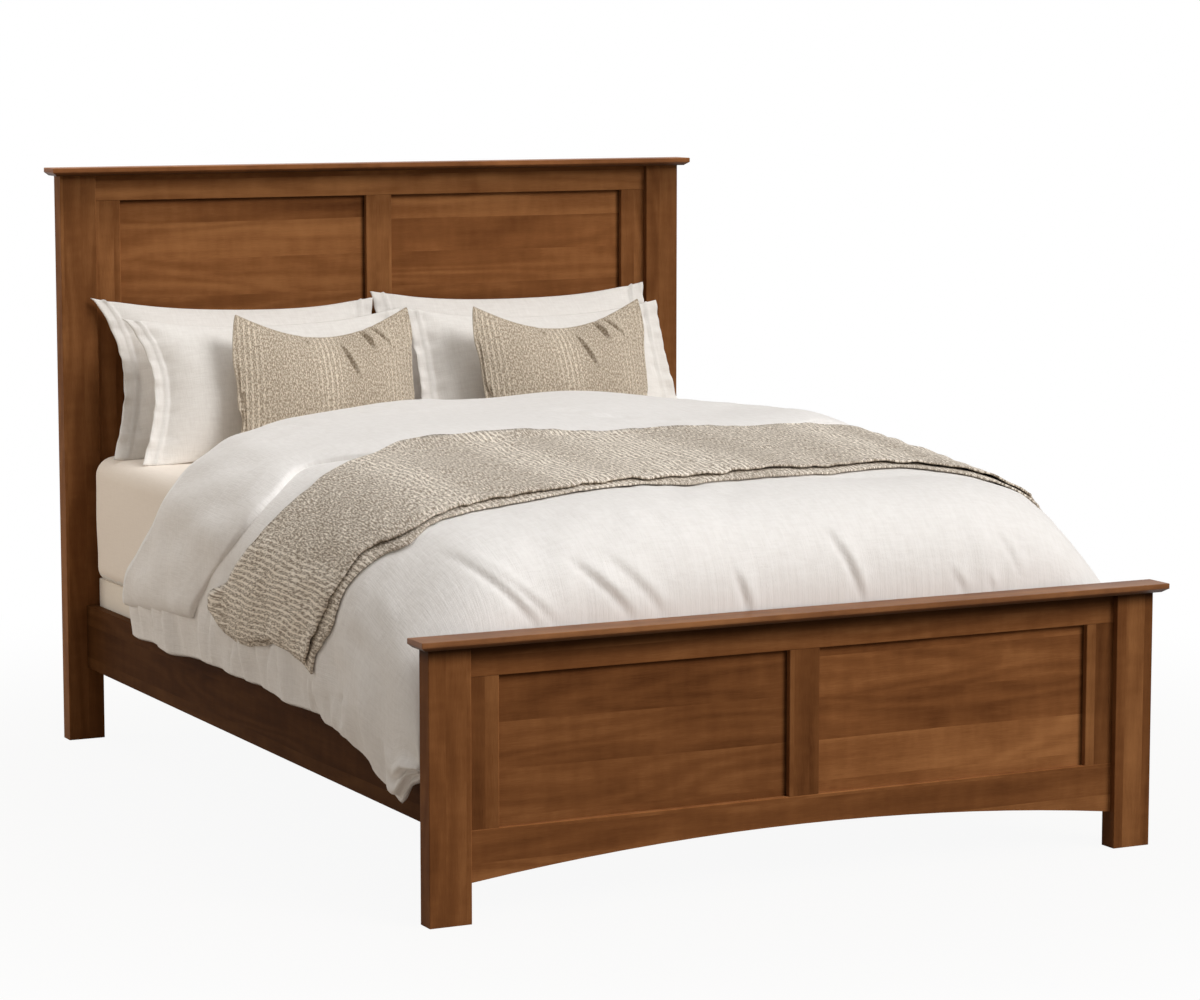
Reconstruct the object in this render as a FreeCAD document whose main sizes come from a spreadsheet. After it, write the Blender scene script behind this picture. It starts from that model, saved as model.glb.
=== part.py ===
import FreeCAD, Part

import math
import os
import re

from FreeCAD import Placement, Rotation, Vector

# A dressed queen-size panel bed: two frame-and-panel ends, hook-on side rails, slats with centre legs,
# a covered foundation, a mattress with its fitted sheet, a turned-down duvet, a folded throw,
# four flanged pillows and two cushions.
# Millimetres. +Z is up, +Y points to the headboard, the origin is under the middle of the bed.

doc = FreeCAD.newDocument("panel_bed")
sheet = doc.addObject("Spreadsheet::Sheet", "dims")

# Driving dimensions, each written once.
SIZES = {
    # overall frame
    "bed_width": 1660.0,
    "rail_length": 2090.0,
    "head_height": 1382.0,
    "foot_height": 559.0,
    "arris": 1.5,
    "fit_gap": 0.25,
    # posts and caps
    "post_width": 89.0,
    "post_depth": 44.5,
    "cap_thick": 19.0,
    "cap_edge": 10.5,
    "cap_bevel": 12.0,
    "cap_end": 24.0,
    "cap_front": 25.0,
    "cap_back": 2.5,
    # frame-and-panel ends
    "frame_setback": 15.0,
    "frame_thick": 25.0,
    "top_rail_height": 61.5,
    "side_stile": 65.3,
    "mid_stile": 68.3,
    "panel_recess": 12.7,
    "panel_thick": 6.5,
    "groove_depth": 10.0,
    "tenon_length": 25.0,
    "tenon_thick": 10.0,
    "tenon_shoulder": 10.0,
    "foot_rail_top": 180.7,
    "arch_foot": 76.6,
    "arch_crown": 122.7,
    "head_rail_low": 300.0,
    "head_rail_height": 100.0,
    "dowel_dia": 10.0,
    "dowel_up": 12.0,
    "dowel_down": 24.0,
    "dowel_place": 370.0,
    # side rails and their hooks
    "rail_inset": 48.4,
    "rail_thick": 25.0,
    "rail_low": 174.7,
    "rail_height": 153.3,
    "hook_thick": 2.5,
    "hook_plate_length": 60.0,
    "hook_plate_height": 112.0,
    "hook_pitch": 62.0,
    "hook_neck": 16.0,
    "hook_drop": 8.0,
    "hook_reach": 12.0,
    "hook_screw_near": 16.0,
    "hook_screw_far": 46.0,
    "hook_screw_rise": 46.0,
    "slot_plate_thick": 2.0,
    "slot_plate_width": 22.0,
    "slot_plate_height": 140.0,
    "slot_gap": 0.4,
    "slot_lift": 9.0,
    "slot_screw_end": 8.0,
    # slats, cleats and centre legs
    "cleat_width": 28.0,
    "cleat_height": 30.0,
    "cleat_rise": 8.0,
    "cleat_end": 75.0,
    "cleat_screw_lead": 140.0,
    "slat_width": 89.0,
    "slat_thick": 19.0,
    "slat_play": 1.0,
    "slat_inset": 190.0,
    "leg_size": 50.0,
    "pad_dia": 36.0,
    "pad_height": 8.0,
    "stem_dia": 8.0,
    "stem_grip": 30.0,
    "stem_gap": 0.2,
    "leveller_travel": 15.0,
    "leveller_spare": 1.0,
    "insert_dia": 12.0,
    "insert_length": 16.0,
    # screws
    "screw_dia": 4.0,
    "screw_gap": 0.1,
    "screw_head_dia": 8.0,
    "screw_head_height": 3.0,
    "slat_screw_bite": 20.0,
    "cleat_screw_bite": 12.0,
    "plate_screw_bite": 16.0,
    "leg_screw_bite": 45.0,
    "leg_screw_pitch": 24.0,
    "thin_head_height": 1.6,
    # foundation, mattress and fitted sheet
    "foundation_play": 3.0,
    "foundation_height": 162.0,
    "cover_thick": 2.5,
    "board_thick": 20.0,
    "mattress_over": 16.0,
    "mattress_thick": 298.0,
    "mattress_corner": 70.0,
    "mattress_top_round": 45.0,
    "mattress_low_round": 26.0,
    "head_gap": 4.0,
    "foot_room": 52.0,
    "sheet_thick": 1.2,
    "sheet_tuck": 8.0,
    "soft_gap": 0.35,
    # duvet
    "duvet_flare": 21.0,
    "duvet_side_draw": 4.0,
    "duvet_shoulder_draw": 21.0,
    "duvet_shoulder_mid": 122.0,
    "duvet_top_end": 331.0,
    "duvet_top_fall": 10.0,
    "duvet_mid_fall": 46.0,
    "duvet_shoulder_fall": 160.0,
    "duvet_end_draw": 28.0,
    "duvet_foot_gap": 6.0,
    "duvet_foot_depth": 310.0,
    "duvet_foot_fall": 150.0,
    "duvet_rise_foot": 84.0,
    "duvet_rise_mid": 132.0,
    "duvet_rise_band": 140.0,
    "duvet_hem": 334.0,
    "duvet_hem_foot": 240.0,
    "duvet_hem_climb": 400.0,
    "hem_pucker": 7.0,
    "fold_from_head": 470.0,
    "fold_band": 400.0,
    "fold_step": 14.0,
    "fold_roll": 60.0,
    # throw
    "throw_gap": 0.8,
    "throw_layer": 5.0,
    "throw_width": 575.0,
    "throw_start": 345.0,
    "throw_peek": 26.0,
    "throw_knee": 690.0,
    "throw_end": 440.0,
    "throw_skew": 190.0,
    "throw_scallop": 14.0,
    # pillows
    "pillow_lean": 19.0,
    "pillow_sink": 8.0,
    "pillow_edge": 5.0,
    "pillow_flange": 45.0,
    "pillow_draw": 10.0,
    "pillow_sag": 24.0,
    "back_pillow_width": 735.0,
    "back_pillow_height": 392.0,
    "back_pillow_front": 72.0,
    "back_pillow_back": 46.0,
    "back_pillow_inset": 34.1,
    "back_pillow_shift": -36.0,
    "back_pillow_room": 146.0,
    "front_pillow_width": 712.0,
    "front_pillow_height": 370.0,
    "front_pillow_front": 70.0,
    "front_pillow_back": 48.0,
    "front_pillow_inset": 54.6,
    "front_pillow_shift": -20.0,
    "front_pillow_step": 140.0,
    # cushions
    "cushion_edge": 7.0,
    "cushion_draw": 14.0,
    "cushion_sag": 60.0,
    "cushion_width": 456.0,
    "cushion_height": 378.0,
    "cushion_front": 62.0,
    "cushion_back": 44.0,
    "cushion_inset": 231.6,
    "cushion_shift": 31.0,
    "cushion_step": 124.0,
}

# Shared places worked out from the driving dimensions.
PLACES = {
    "half_width": "bed_width / 2",
    "foot_front": "cap_front - (cap_front + 2 * post_depth + rail_length + cap_back) / 2",
    "foot_back": "foot_front + post_depth",
    "head_front": "foot_back + rail_length",
    "inner_face": "half_width - post_width",
    "arch_rise": "arch_crown - arch_foot",
    "arch_radius": "(inner_face ^ 2 + arch_rise ^ 2) / (2 * arch_rise)",
    "rail_outer": "half_width - rail_inset",
    "rail_inner": "rail_outer - rail_thick",
    "rail_top": "rail_low + rail_height",
    "hook_mid": "rail_low + rail_height / 2",
    "hook_x": "rail_inner - hook_thick / 2",
    "cleat_top": "rail_low + cleat_rise + cleat_height",
    "slat_top": "cleat_top + slat_thick",
    "leg_low": "pad_height + leveller_travel + leveller_spare",
    "foundation_half": "rail_inner - hook_thick - foundation_play",
    "mattress_half": "rail_inner + mattress_over",
    "mattress_low": "slat_top + foundation_height",
    "mattress_head": "head_front - head_gap",
    "mattress_foot": "foot_back + foot_room",
    "mattress_top": "mattress_low + mattress_thick",
    "bedding_top": "mattress_top + soft_gap + sheet_thick",
    "duvet_reach": "half_width + duvet_flare",
    "duvet_foot": "foot_back + duvet_foot_gap",
    "fold_end": "head_front - fold_from_head",
    "back_pillow_y": "head_front - back_pillow_room",
    "front_pillow_y": "back_pillow_y - front_pillow_step",
    "cushion_y": "front_pillow_y - cushion_step",
}

for row, (alias, number) in enumerate(SIZES.items(), start=1):
    sheet.set("A%d" % row, alias)
    sheet.set("B%d" % row, "%g" % number)
    sheet.setAlias("B%d" % row, alias)
for row, (alias, formula) in enumerate(PLACES.items(), start=len(SIZES) + 2):
    sheet.set("A%d" % row, alias)
    sheet.set("B%d" % row, "=" + formula)
    sheet.setAlias("B%d" % row, alias)
doc.recompute()

NAMES = set(SIZES) | set(PLACES)
AXES = {"x": Vector(1, 0, 0), "y": Vector(0, 1, 0), "z": Vector(0, 0, 1)}
TOWARD = {
    "x": Rotation(Vector(0, 1, 0), 90),
    "-x": Rotation(Vector(0, 1, 0), -90),
    "y": Rotation(Vector(1, 0, 0), -90),
    "-y": Rotation(Vector(1, 0, 0), 90),
    "z": Rotation(),
    "-z": Rotation(Vector(1, 0, 0), 180),
}
SIDES = {"left": -1, "right": 1}
nodes = []


def bound(formula):
    """The formula with each size's name pointing into the sheet."""
    return re.sub(r"[a-z_]+", lambda word: "dims." * (word.group() in NAMES) + word.group(), formula)


def size(alias):
    """The present value of a size or place in the sheet."""
    return float(sheet.get(alias))


def bind(item, **formulas):
    for name, formula in formulas.items():
        item.setExpression(name.replace("__", "."), bound(formula))


def place(item, x, y, z):
    bind(item, Placement__Base__x=x, Placement__Base__y=y, Placement__Base__z=z)


def block(name, x, y, z):
    """A box from three pairs of formulas: its low side and its size along each axis."""
    item = doc.addObject("Part::Box", name)
    bind(item, Length=x[1], Width=y[1], Height=z[1])
    place(item, x[0], y[0], z[0])
    return item


def rod(name, at, toward, dia, length):
    """A round bar of one diameter that starts at a point and runs along an axis."""
    item = doc.addObject("Part::Cylinder", name)
    item.Placement = Placement(Vector(), TOWARD[toward])
    bind(item, Radius="(%s) / 2" % dia, Height=length)
    place(item, *at)
    return item


def joined(name, pieces):
    if len(pieces) == 1:
        return pieces[0]
    item = doc.addObject("Part::MultiFuse", name)
    item.Shapes = pieces
    return item


def group(name, pieces):
    """Separate like solids kept together as one node."""
    item = doc.addObject("Part::Compound", name)
    item.Links = pieces
    return item


def cut(name, base, tools):
    item = doc.addObject("Part::Cut", name)
    item.Base = base
    item.Tool = joined(name + "_tools", tools)
    return item


def eased(name, base, radius, wanted):
    """The base with a small round on each edge that the wanted function picks."""
    doc.recompute()
    item = doc.addObject("Part::Fillet", name)
    item.Base = base
    amount = size(radius)
    picked = [i for i, edge in enumerate(base.Shape.Edges, start=1) if wanted(edge, base.Shape.BoundBox)]
    item.Edges = [(i, amount, amount) for i in picked]
    return item


def along(axis):
    """Picks the straight edges that run along one axis."""
    return lambda edge, box: abs(edge.tangentAt(edge.FirstParameter).dot(AXES[axis])) > 0.999


def above_bottom(edge, box):
    return edge.BoundBox.ZMax > box.ZMin + 0.01


def rings(edge, box):
    return edge.isClosed()


def node(name, item):
    item.Label = name
    nodes.append(item)


def screw(name, at, toward, length, head_height="screw_head_height"):
    """A flat-headed screw whose head lies flush: its shank and its head start at the same face."""
    shank = rod(name + "_shank", at, toward, "screw_dia", length)
    head = rod(name + "_head", at, toward, "screw_head_dia", head_height)
    return joined(name, [shank, head])


def screw_hole(name, at, toward, length, head_height="screw_head_height"):
    """The clearance hole and counterbore of that screw."""
    shank = rod(name + "_bore", at, toward, "screw_dia + 2 * screw_gap", "%s + screw_gap" % length)
    head = rod(name + "_counterbore", at, toward, "screw_head_dia + 2 * screw_gap", head_height)
    return [shank, head]


def signed(side, formula):
    """A place on the left (-1) or right (+1) of the middle."""
    return "%d * (%s)" % (side, formula)


def span(side, inner, thick):
    """The low side and size of a block that starts at an inner face on one side of the middle."""
    if side > 0:
        return inner, thick
    return "-(%s) - (%s)" % (inner, thick), thick


# Headboard and footboard
# Two solid posts carry a frame of rails and stiles, tenoned and grooved, around two floating panels.
# A moulded cap is dowelled on top and overhangs the front and both ends.
ENDS = {
    "headboard": {"front": "head_front", "height": "head_height", "rail_low": "head_rail_low",
                  "rail_top": "head_rail_low + head_rail_height", "face": "head_front", "into": 1},
    "footboard": {"front": "foot_front", "height": "foot_height", "rail_low": "arch_foot",
                  "rail_top": "foot_rail_top", "face": "foot_back", "into": -1},
}
HOOKS = (-1, 1)


def end_places(end):
    """Formulas shared by all the pieces of one end."""
    places = dict(ENDS[end])
    places["under_cap"] = "%s - cap_thick" % places["height"]
    places["top_rail_low"] = "%s - cap_thick - top_rail_height" % places["height"]
    places["frame_front"] = "%s + frame_setback" % places["front"]
    places["tenon_front"] = "%s + frame_setback + (frame_thick - tenon_thick) / 2" % places["front"]
    places["panel_front"] = "%s + frame_setback + panel_recess" % places["front"]
    places["dowel_y"] = "%s + frame_setback + frame_thick / 2" % places["front"]
    return places


def rail_tenons(name, at, low, high, gap):
    """The tenon at each end of a rail, or with a gap the mortise that takes it."""
    tenons = []
    for side_name, side in SIDES.items():
        x = span(side, "inner_face", "tenon_length + %s" % gap)
        y = "%s - %s" % (at["tenon_front"], gap), "tenon_thick + 2 * %s" % gap
        tall = "%s - (%s) - 2 * tenon_shoulder + 2 * %s" % (high, low, gap)
        z = "%s + tenon_shoulder - %s" % (low, gap), tall
        tenons.append(block("%s_%s" % (name, side_name), x, y, z))
    return tenons


def panel_groove(name, at, low):
    """The groove along a rail's inner edge for the panels and the stiles' tongues."""
    x = "-inner_face", "2 * inner_face"
    y = "%s - fit_gap" % at["panel_front"], "panel_thick + 2 * fit_gap"
    return block(name, x, y, (low, "groove_depth"))


def dowels(end, at, gap):
    """Round dowels that stand half in the cap: two in the posts, two in the top rail."""
    spots = {"post": "half_width - post_width / 2", "rail": "dowel_place"}
    made = {}
    for spot, x in spots.items():
        for side_name, side in SIDES.items():
            name = "%s_dowel_%s_%s_%s" % (end, spot, side_name, "hole" if gap != "0" else "pin")
            foot = signed(side, x), at["dowel_y"], "%s - dowel_down - %s" % (at["under_cap"], gap)
            made[spot, side_name] = rod(name, foot, "z", "dowel_dia + 2 * %s" % gap,
                                        "dowel_down + dowel_up + 2 * %s" % gap)
    return made


def slot_plate_tools(name, side, at):
    """The shallow seat of a slot plate, the deep pocket of each hook and the plate's screw holes."""
    into = at["into"]
    seat_y = at["face"] if into > 0 else "%s - slot_plate_thick" % at["face"]
    tools = [block(name + "_seat", (signed(side, "hook_x") + " - slot_plate_width / 2 - fit_gap",
                                    "slot_plate_width + 2 * fit_gap"), (seat_y, "slot_plate_thick"),
                   ("hook_mid - slot_plate_height / 2 - fit_gap", "slot_plate_height + 2 * fit_gap"))]
    depth = "slot_plate_thick + hook_reach + 2 * slot_gap"
    pocket_y = at["face"] if into > 0 else "%s - (%s)" % (at["face"], depth)
    for number, hook in enumerate(HOOKS, start=1):
        tools.append(block("%s_pocket_%d" % (name, number), hook_slot_x(side), (pocket_y, depth),
                           hook_slot_z(hook)))
    for spot in HOOKS:
        tools += screw_hole("%s_hole%d" % (name, spot + 2), slot_screw_at(side, at, spot),
                            "y" if into > 0 else "-y", "plate_screw_bite", "thin_head_height")
    return tools


def hook_slot_x(side):
    return signed(side, "hook_x") + " - hook_thick / 2 - slot_gap", "hook_thick + 2 * slot_gap"


def hook_slot_z(hook):
    low = "hook_mid + %d * hook_pitch / 2 - hook_neck / 2 - hook_drop - slot_gap" % hook
    return low, "hook_neck + hook_drop + slot_lift + 2 * slot_gap"


def slot_screw_at(side, at, spot):
    z = "hook_mid + %d * (slot_plate_height / 2 - slot_screw_end)" % spot
    return signed(side, "hook_x"), at["face"], z


pins = []
for end in ENDS:
    at = end_places(end)
    holes = dowels(end, at, "fit_gap")
    pins += list(dowels(end, at, "0").values())

    mortises = {}
    heights = {"top": (at["top_rail_low"], at["under_cap"]), "bottom": (at["rail_low"], at["rail_top"])}
    for label, (low, high) in heights.items():
        pair = rail_tenons("%s_%s_mortise" % (end, label), at, low, high, "fit_gap")
        for side_name, mortise in zip(SIDES, pair):
            mortises.setdefault(side_name, []).append(mortise)

    for side_name, side in SIDES.items():
        name = "%s_post_%s" % (end, side_name)
        blank = block(name + "_blank", span(side, "inner_face", "post_width"), (at["front"], "post_depth"),
                      ("0", at["under_cap"]))
        blank = eased(name + "_eased", blank, "arris", along("z"))
        tools = mortises[side_name] + [holes["post", side_name]] + slot_plate_tools(name, side, at)
        node(name, cut(name, blank, tools))

    name = end + "_top_rail"
    blank = block(name + "_blank", ("-inner_face", "2 * inner_face"), (at["frame_front"], "frame_thick"),
                  (at["top_rail_low"], "top_rail_height"))
    blank = eased(name + "_eased", blank, "arris", along("x"))
    blank = joined(name + "_tenoned", [blank] + rail_tenons(name + "_tenon", at, at["top_rail_low"],
                                                            at["under_cap"], "0"))
    rail_holes = [holes["rail", side_name] for side_name in SIDES]
    node(name, cut(name, blank, rail_holes + [panel_groove(name + "_groove", at, at["top_rail_low"])]))

    name = end + "_bottom_rail"
    blank = block(name + "_blank", ("-inner_face", "2 * inner_face"), (at["frame_front"], "frame_thick"),
                  (at["rail_low"], "%s - (%s)" % (at["rail_top"], at["rail_low"])))
    blank = eased(name + "_eased", blank, "arris", along("x"))
    blank = joined(name + "_tenoned", [blank] + rail_tenons(name + "_tenon", at, at["rail_low"],
                                                            at["rail_top"], "0"))
    tools = [panel_groove(name + "_groove", at, "%s - groove_depth" % at["rail_top"])]
    if end == "footboard":
        hub = "0", at["front"], "arch_crown - arch_radius"
        tools.append(rod(name + "_arch", hub, "y", "2 * arch_radius", "post_depth"))
    node(name, cut(name, blank, tools))

    # Stiles stand between the rails on tongues that share the panel groove.
    stiles = {
        "left": ("-inner_face", "side_stile", (1,)),
        "mid": ("-mid_stile / 2", "mid_stile", (-1, 1)),
        "right": ("inner_face - side_stile", "side_stile", (-1,)),
    }
    open_low, open_high = at["rail_top"], at["top_rail_low"]
    for label, (x, wide, grooved) in stiles.items():
        name = "%s_stile_%s" % (end, label)
        blank = block(name + "_blank", (x, wide), (at["frame_front"], "frame_thick"),
                      (open_low, "%s - (%s)" % (open_high, open_low)))
        blank = eased(name + "_eased", blank, "arris", along("z"))
        tongue = block(name + "_tongue", (x, wide), (at["panel_front"], "panel_thick"),
                       ("%s - groove_depth + fit_gap" % open_low,
                        "%s - (%s) + 2 * groove_depth - 2 * fit_gap" % (open_high, open_low)))
        tools = []
        for edge in grooved:
            groove_x = x if edge < 0 else "%s + %s - groove_depth" % (x, wide)
            tools.append(block("%s_groove_%d" % (name, edge + 2), (groove_x, "groove_depth"),
                               ("%s - fit_gap" % at["panel_front"], "panel_thick + 2 * fit_gap"),
                               ("%s - groove_depth" % open_low,
                                "%s - (%s) + 2 * groove_depth" % (open_high, open_low))))
        node(name, cut(name, joined(name + "_tongued", [blank, tongue]), tools))

    for side_name, side in SIDES.items():
        name = "%s_panel_%s" % (end, side_name)
        wide = "inner_face - side_stile - mid_stile / 2 + 2 * groove_depth - 2 * fit_gap"
        x = span(side, "mid_stile / 2 - groove_depth + fit_gap", wide)
        z = ("%s - groove_depth + fit_gap" % open_low,
             "%s - (%s) + 2 * groove_depth - 2 * fit_gap" % (open_high, open_low))
        node(name, block(name, x, (at["panel_front"], "panel_thick"), z))

    # The cap: a square-edged slab over a bevel that runs in under the front and both ends.
    name = end + "_cap"
    slab = block(name + "_slab", ("-half_width - cap_end", "bed_width + 2 * cap_end"),
                 ("%s - cap_front" % at["front"], "cap_front + post_depth + cap_back"),
                 ("%s - cap_edge" % at["height"], "cap_edge"))
    slab = eased(name + "_slab_eased", slab, "arris", above_bottom)
    bevel = doc.addObject("Part::Wedge", name + "_bevel")
    bevel.Placement = Placement(Vector(), TOWARD["-y"])
    place(bevel, "0", "0", at["under_cap"])
    back = "-(%s + post_depth + cap_back)" % at["front"]
    bind(bevel, Xmin="-half_width - cap_end + cap_bevel", Xmax="half_width + cap_end - cap_bevel",
         X2min="-half_width - cap_end", X2max="half_width + cap_end", Ymin="0", Ymax="cap_thick - cap_edge",
         Zmin=back, Z2min=back, Zmax="cap_front - cap_bevel - (%s)" % at["front"],
         Z2max="cap_front - (%s)" % at["front"])
    node(name, cut(name, joined(name + "_blank", [slab, bevel]), list(holes.values())))

node("cap_dowels", group("cap_dowels", pins))

# Side rails
# Each rail hangs between the posts on a steel hook plate at either end and has a cleat screwed inside.
CLEAT_SCREWS = 6
SLATS = 5
LEGGED = (1, 2, 3)
slat_pitch = "(rail_length - 2 * slat_inset - slat_width) / %d" % (SLATS - 1)


def slat_low(number):
    return "foot_back + slat_inset + %d * %s" % (number, slat_pitch)


def slat_screw_at(side, number):
    y = "%s + slat_width / 2" % slat_low(number)
    return signed(side, "rail_inner - cleat_width / 2"), y, "slat_top"


def cleat_screw_at(side, number):
    step = "(rail_length - 2 * slat_inset) / %d" % CLEAT_SCREWS
    y = "foot_back + slat_inset + cleat_screw_lead + %d * %s" % (number, step)
    return signed(side, "rail_inner - cleat_width"), y, "rail_low + cleat_rise + cleat_height / 2"


def hook_screw_at(side, at, number):
    """Screws of a hook plate: one low, one high, one between them further from the post."""
    back = "hook_screw_far" if number == 1 else "hook_screw_near"
    y = "%s - %s" % (at["face"], back) if at["into"] > 0 else "%s + %s" % (at["face"], back)
    return signed(side, "rail_inner - hook_thick"), y, "hook_mid + %d * hook_screw_rise" % (number - 1)


hook_plates = []
slot_plates = []
hook_screws = []
slot_screws = []
cleat_screws = []
for side_name, side in SIDES.items():
    outward = "x" if side > 0 else "-x"
    rail_tools = []
    for end in ENDS:
        at = end_places(end)
        into = at["into"]
        name = "hook_%s_%s" % (end, side_name)
        plate_y = "%s - hook_plate_length" % at["face"] if into > 0 else at["face"]
        x = span(side, "rail_inner - hook_thick", "hook_thick")
        pieces = [block(name + "_plate", x, (plate_y, "hook_plate_length"),
                        ("hook_mid - hook_plate_height / 2", "hook_plate_height"))]
        neck = "slot_plate_thick + slot_gap"
        for number, hook in enumerate(HOOKS, start=1):
            low = "hook_mid + %d * hook_pitch / 2 - hook_neck / 2" % hook
            reach = "%s + hook_reach" % neck
            neck_y = at["face"] if into > 0 else "%s - (%s)" % (at["face"], reach)
            lip_y = "%s + %s" % (at["face"], neck) if into > 0 else neck_y
            pieces.append(block("%s_neck_%d" % (name, number), x, (neck_y, reach), (low, "hook_neck")))
            pieces.append(block("%s_lip_%d" % (name, number), x, (lip_y, "hook_reach"),
                                ("%s - hook_drop" % low, "hook_neck + hook_drop")))
        plate_holes = []
        for number in range(3):
            spot = hook_screw_at(side, at, number)
            label = "%s_screw_%d" % (name, number + 1)
            length = "hook_thick + plate_screw_bite"
            hook_screws.append(screw(label, spot, outward, length, "thin_head_height"))
            plate_holes += screw_hole(label, spot, outward, length, "thin_head_height")
        hook_plates.append(cut(name, joined(name + "_blank", pieces), plate_holes))
        rail_tools += plate_holes

        name = "slot_%s_%s" % (end, side_name)
        seat_y = at["face"] if into > 0 else "%s - slot_plate_thick" % at["face"]
        plate_x = signed(side, "hook_x") + " - slot_plate_width / 2", "slot_plate_width"
        plate = block(name + "_plate", plate_x, (seat_y, "slot_plate_thick"),
                      ("hook_mid - slot_plate_height / 2", "slot_plate_height"))
        plate_holes = []
        for number, hook in enumerate(HOOKS, start=1):
            plate_holes.append(block("%s_slot_%d" % (name, number), hook_slot_x(side),
                                     (seat_y, "slot_plate_thick"), hook_slot_z(hook)))
        for spot in HOOKS:
            label = "%s_screw_%d" % (name, spot + 2)
            toward = "y" if into > 0 else "-y"
            spot_at = slot_screw_at(side, at, spot)
            slot_screws.append(screw(label, spot_at, toward, "plate_screw_bite", "thin_head_height"))
            plate_holes += screw_hole(label, spot_at, toward, "plate_screw_bite", "thin_head_height")
        slot_plates.append(cut(name, plate, plate_holes))

    cleat_tools = []
    for number in range(CLEAT_SCREWS):
        spot = cleat_screw_at(side, number)
        label = "cleat_screw_%s_%d" % (side_name, number + 1)
        length = "cleat_width + cleat_screw_bite"
        cleat_screws.append(screw(label, spot, outward, length))
        hole = screw_hole(label, spot, outward, length)
        cleat_tools += hole
        rail_tools.append(hole[0])
    for number in range(SLATS):
        label = "cleat_%s_slat_%d" % (side_name, number + 1)
        hole = screw_hole(label, slat_screw_at(side, number), "-z", "slat_thick + slat_screw_bite")
        cleat_tools.append(hole[0])

    name = "side_rail_" + side_name
    blank = block(name + "_blank", span(side, "rail_inner", "rail_thick"), ("foot_back", "rail_length"),
                  ("rail_low", "rail_height"))
    blank = eased(name + "_eased", blank, "arris", along("y"))
    node(name, cut(name, blank, rail_tools))

    name = "cleat_" + side_name
    blank = block(name + "_blank", span(side, "rail_inner - cleat_width", "cleat_width"),
                  ("foot_back + cleat_end", "rail_length - 2 * cleat_end"),
                  ("rail_low + cleat_rise", "cleat_height"))
    node(name, cut(name, blank, cleat_tools))

node("rail_hook_plates", group("rail_hook_plates", hook_plates))
node("post_slot_plates", group("post_slot_plates", slot_plates))
node("hook_plate_screws", group("hook_plate_screws", hook_screws))
node("slot_plate_screws", group("slot_plate_screws", slot_screws))
node("cleat_screws", group("cleat_screws", cleat_screws))

# Slats and centre legs
# Slats lie on the cleats and are screwed down; the middle ones stand on legs with threaded levellers.
slat_screws = []
leg_screws = []
inserts = []
for number in range(SLATS):
    name = "slat_%d" % (number + 1)
    blank = block(name + "_blank", ("slat_play - rail_inner", "2 * (rail_inner - slat_play)"),
                  (slat_low(number), "slat_width"), ("cleat_top", "slat_thick"))
    blank = eased(name + "_eased", blank, "arris", along("x"))
    tools = []
    for side_name, side in SIDES.items():
        label = "slat_screw_%d_%s" % (number + 1, side_name)
        spot = slat_screw_at(side, number)
        slat_screws.append(screw(label, spot, "-z", "slat_thick + slat_screw_bite"))
        tools += screw_hole(label, spot, "-z", "slat_thick + slat_screw_bite")
    middle = "%s + slat_width / 2" % slat_low(number)
    leg_tools = []
    if number in LEGGED:
        for side_name, side in SIDES.items():
            label = "leg_screw_%d_%s" % (number, side_name)
            spot = signed(side, "leg_screw_pitch / 2"), middle, "slat_top"
            leg_screws.append(screw(label, spot, "-z", "slat_thick + leg_screw_bite"))
            hole = screw_hole(label, spot, "-z", "slat_thick + leg_screw_bite")
            tools += hole
            leg_tools.append(hole[0])
    node(name, cut(name, blank, tools))
    if number not in LEGGED:
        continue

    name = "centre_leg_%d" % number
    blank = block(name + "_blank", ("-leg_size / 2", "leg_size"), ("%s - leg_size / 2" % middle, "leg_size"),
                  ("leg_low", "cleat_top - leg_low"))
    blank = eased(name + "_eased", blank, "arris", along("z"))
    foot = "0", middle, "leg_low"
    leg_tools.append(rod(name + "_insert_hole", foot, "z", "insert_dia + 2 * fit_gap", "insert_length"))
    leg_tools.append(rod(name + "_stem_hole", foot, "z", "stem_dia + 2 * stem_gap",
                         "stem_grip + leveller_travel + 2 * leveller_spare"))
    node(name, cut(name, blank, leg_tools))

    name = "leg_insert_%d" % number
    sleeve = rod(name + "_sleeve", foot, "z", "insert_dia", "insert_length")
    bore = rod(name + "_bore", foot, "z", "stem_dia + 2 * stem_gap", "insert_length")
    inserts.append(cut(name, sleeve, [bore]))

    name = "leveller_%d" % number
    pad = rod(name + "_pad", ("0", middle, "0"), "z", "pad_dia", "pad_height")
    pad = eased(name + "_pad_eased", pad, "arris", rings)
    stem = rod(name + "_stem", ("0", middle, "0"), "z", "stem_dia", "leg_low + stem_grip")
    node(name, joined(name, [pad, stem]))

node("slat_screws", group("slat_screws", slat_screws))
node("leg_screws", group("leg_screws", leg_screws))
node("leg_inserts", group("leg_inserts", inserts))

# Foundation
# A low wooden box frame of boards inside a fitted fabric cover, open underneath.
bed_long = "mattress_head - mattress_foot"
node("foundation_cover", cut("foundation_cover", block(
    "foundation_cover_outside", ("-foundation_half", "2 * foundation_half"), ("mattress_foot", bed_long),
    ("slat_top", "foundation_height")), [block(
        "foundation_cover_inside", ("cover_thick - foundation_half", "2 * (foundation_half - cover_thick)"),
        ("mattress_foot + cover_thick", "%s - 2 * cover_thick" % bed_long),
        ("slat_top", "foundation_height - cover_thick"))]))

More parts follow.
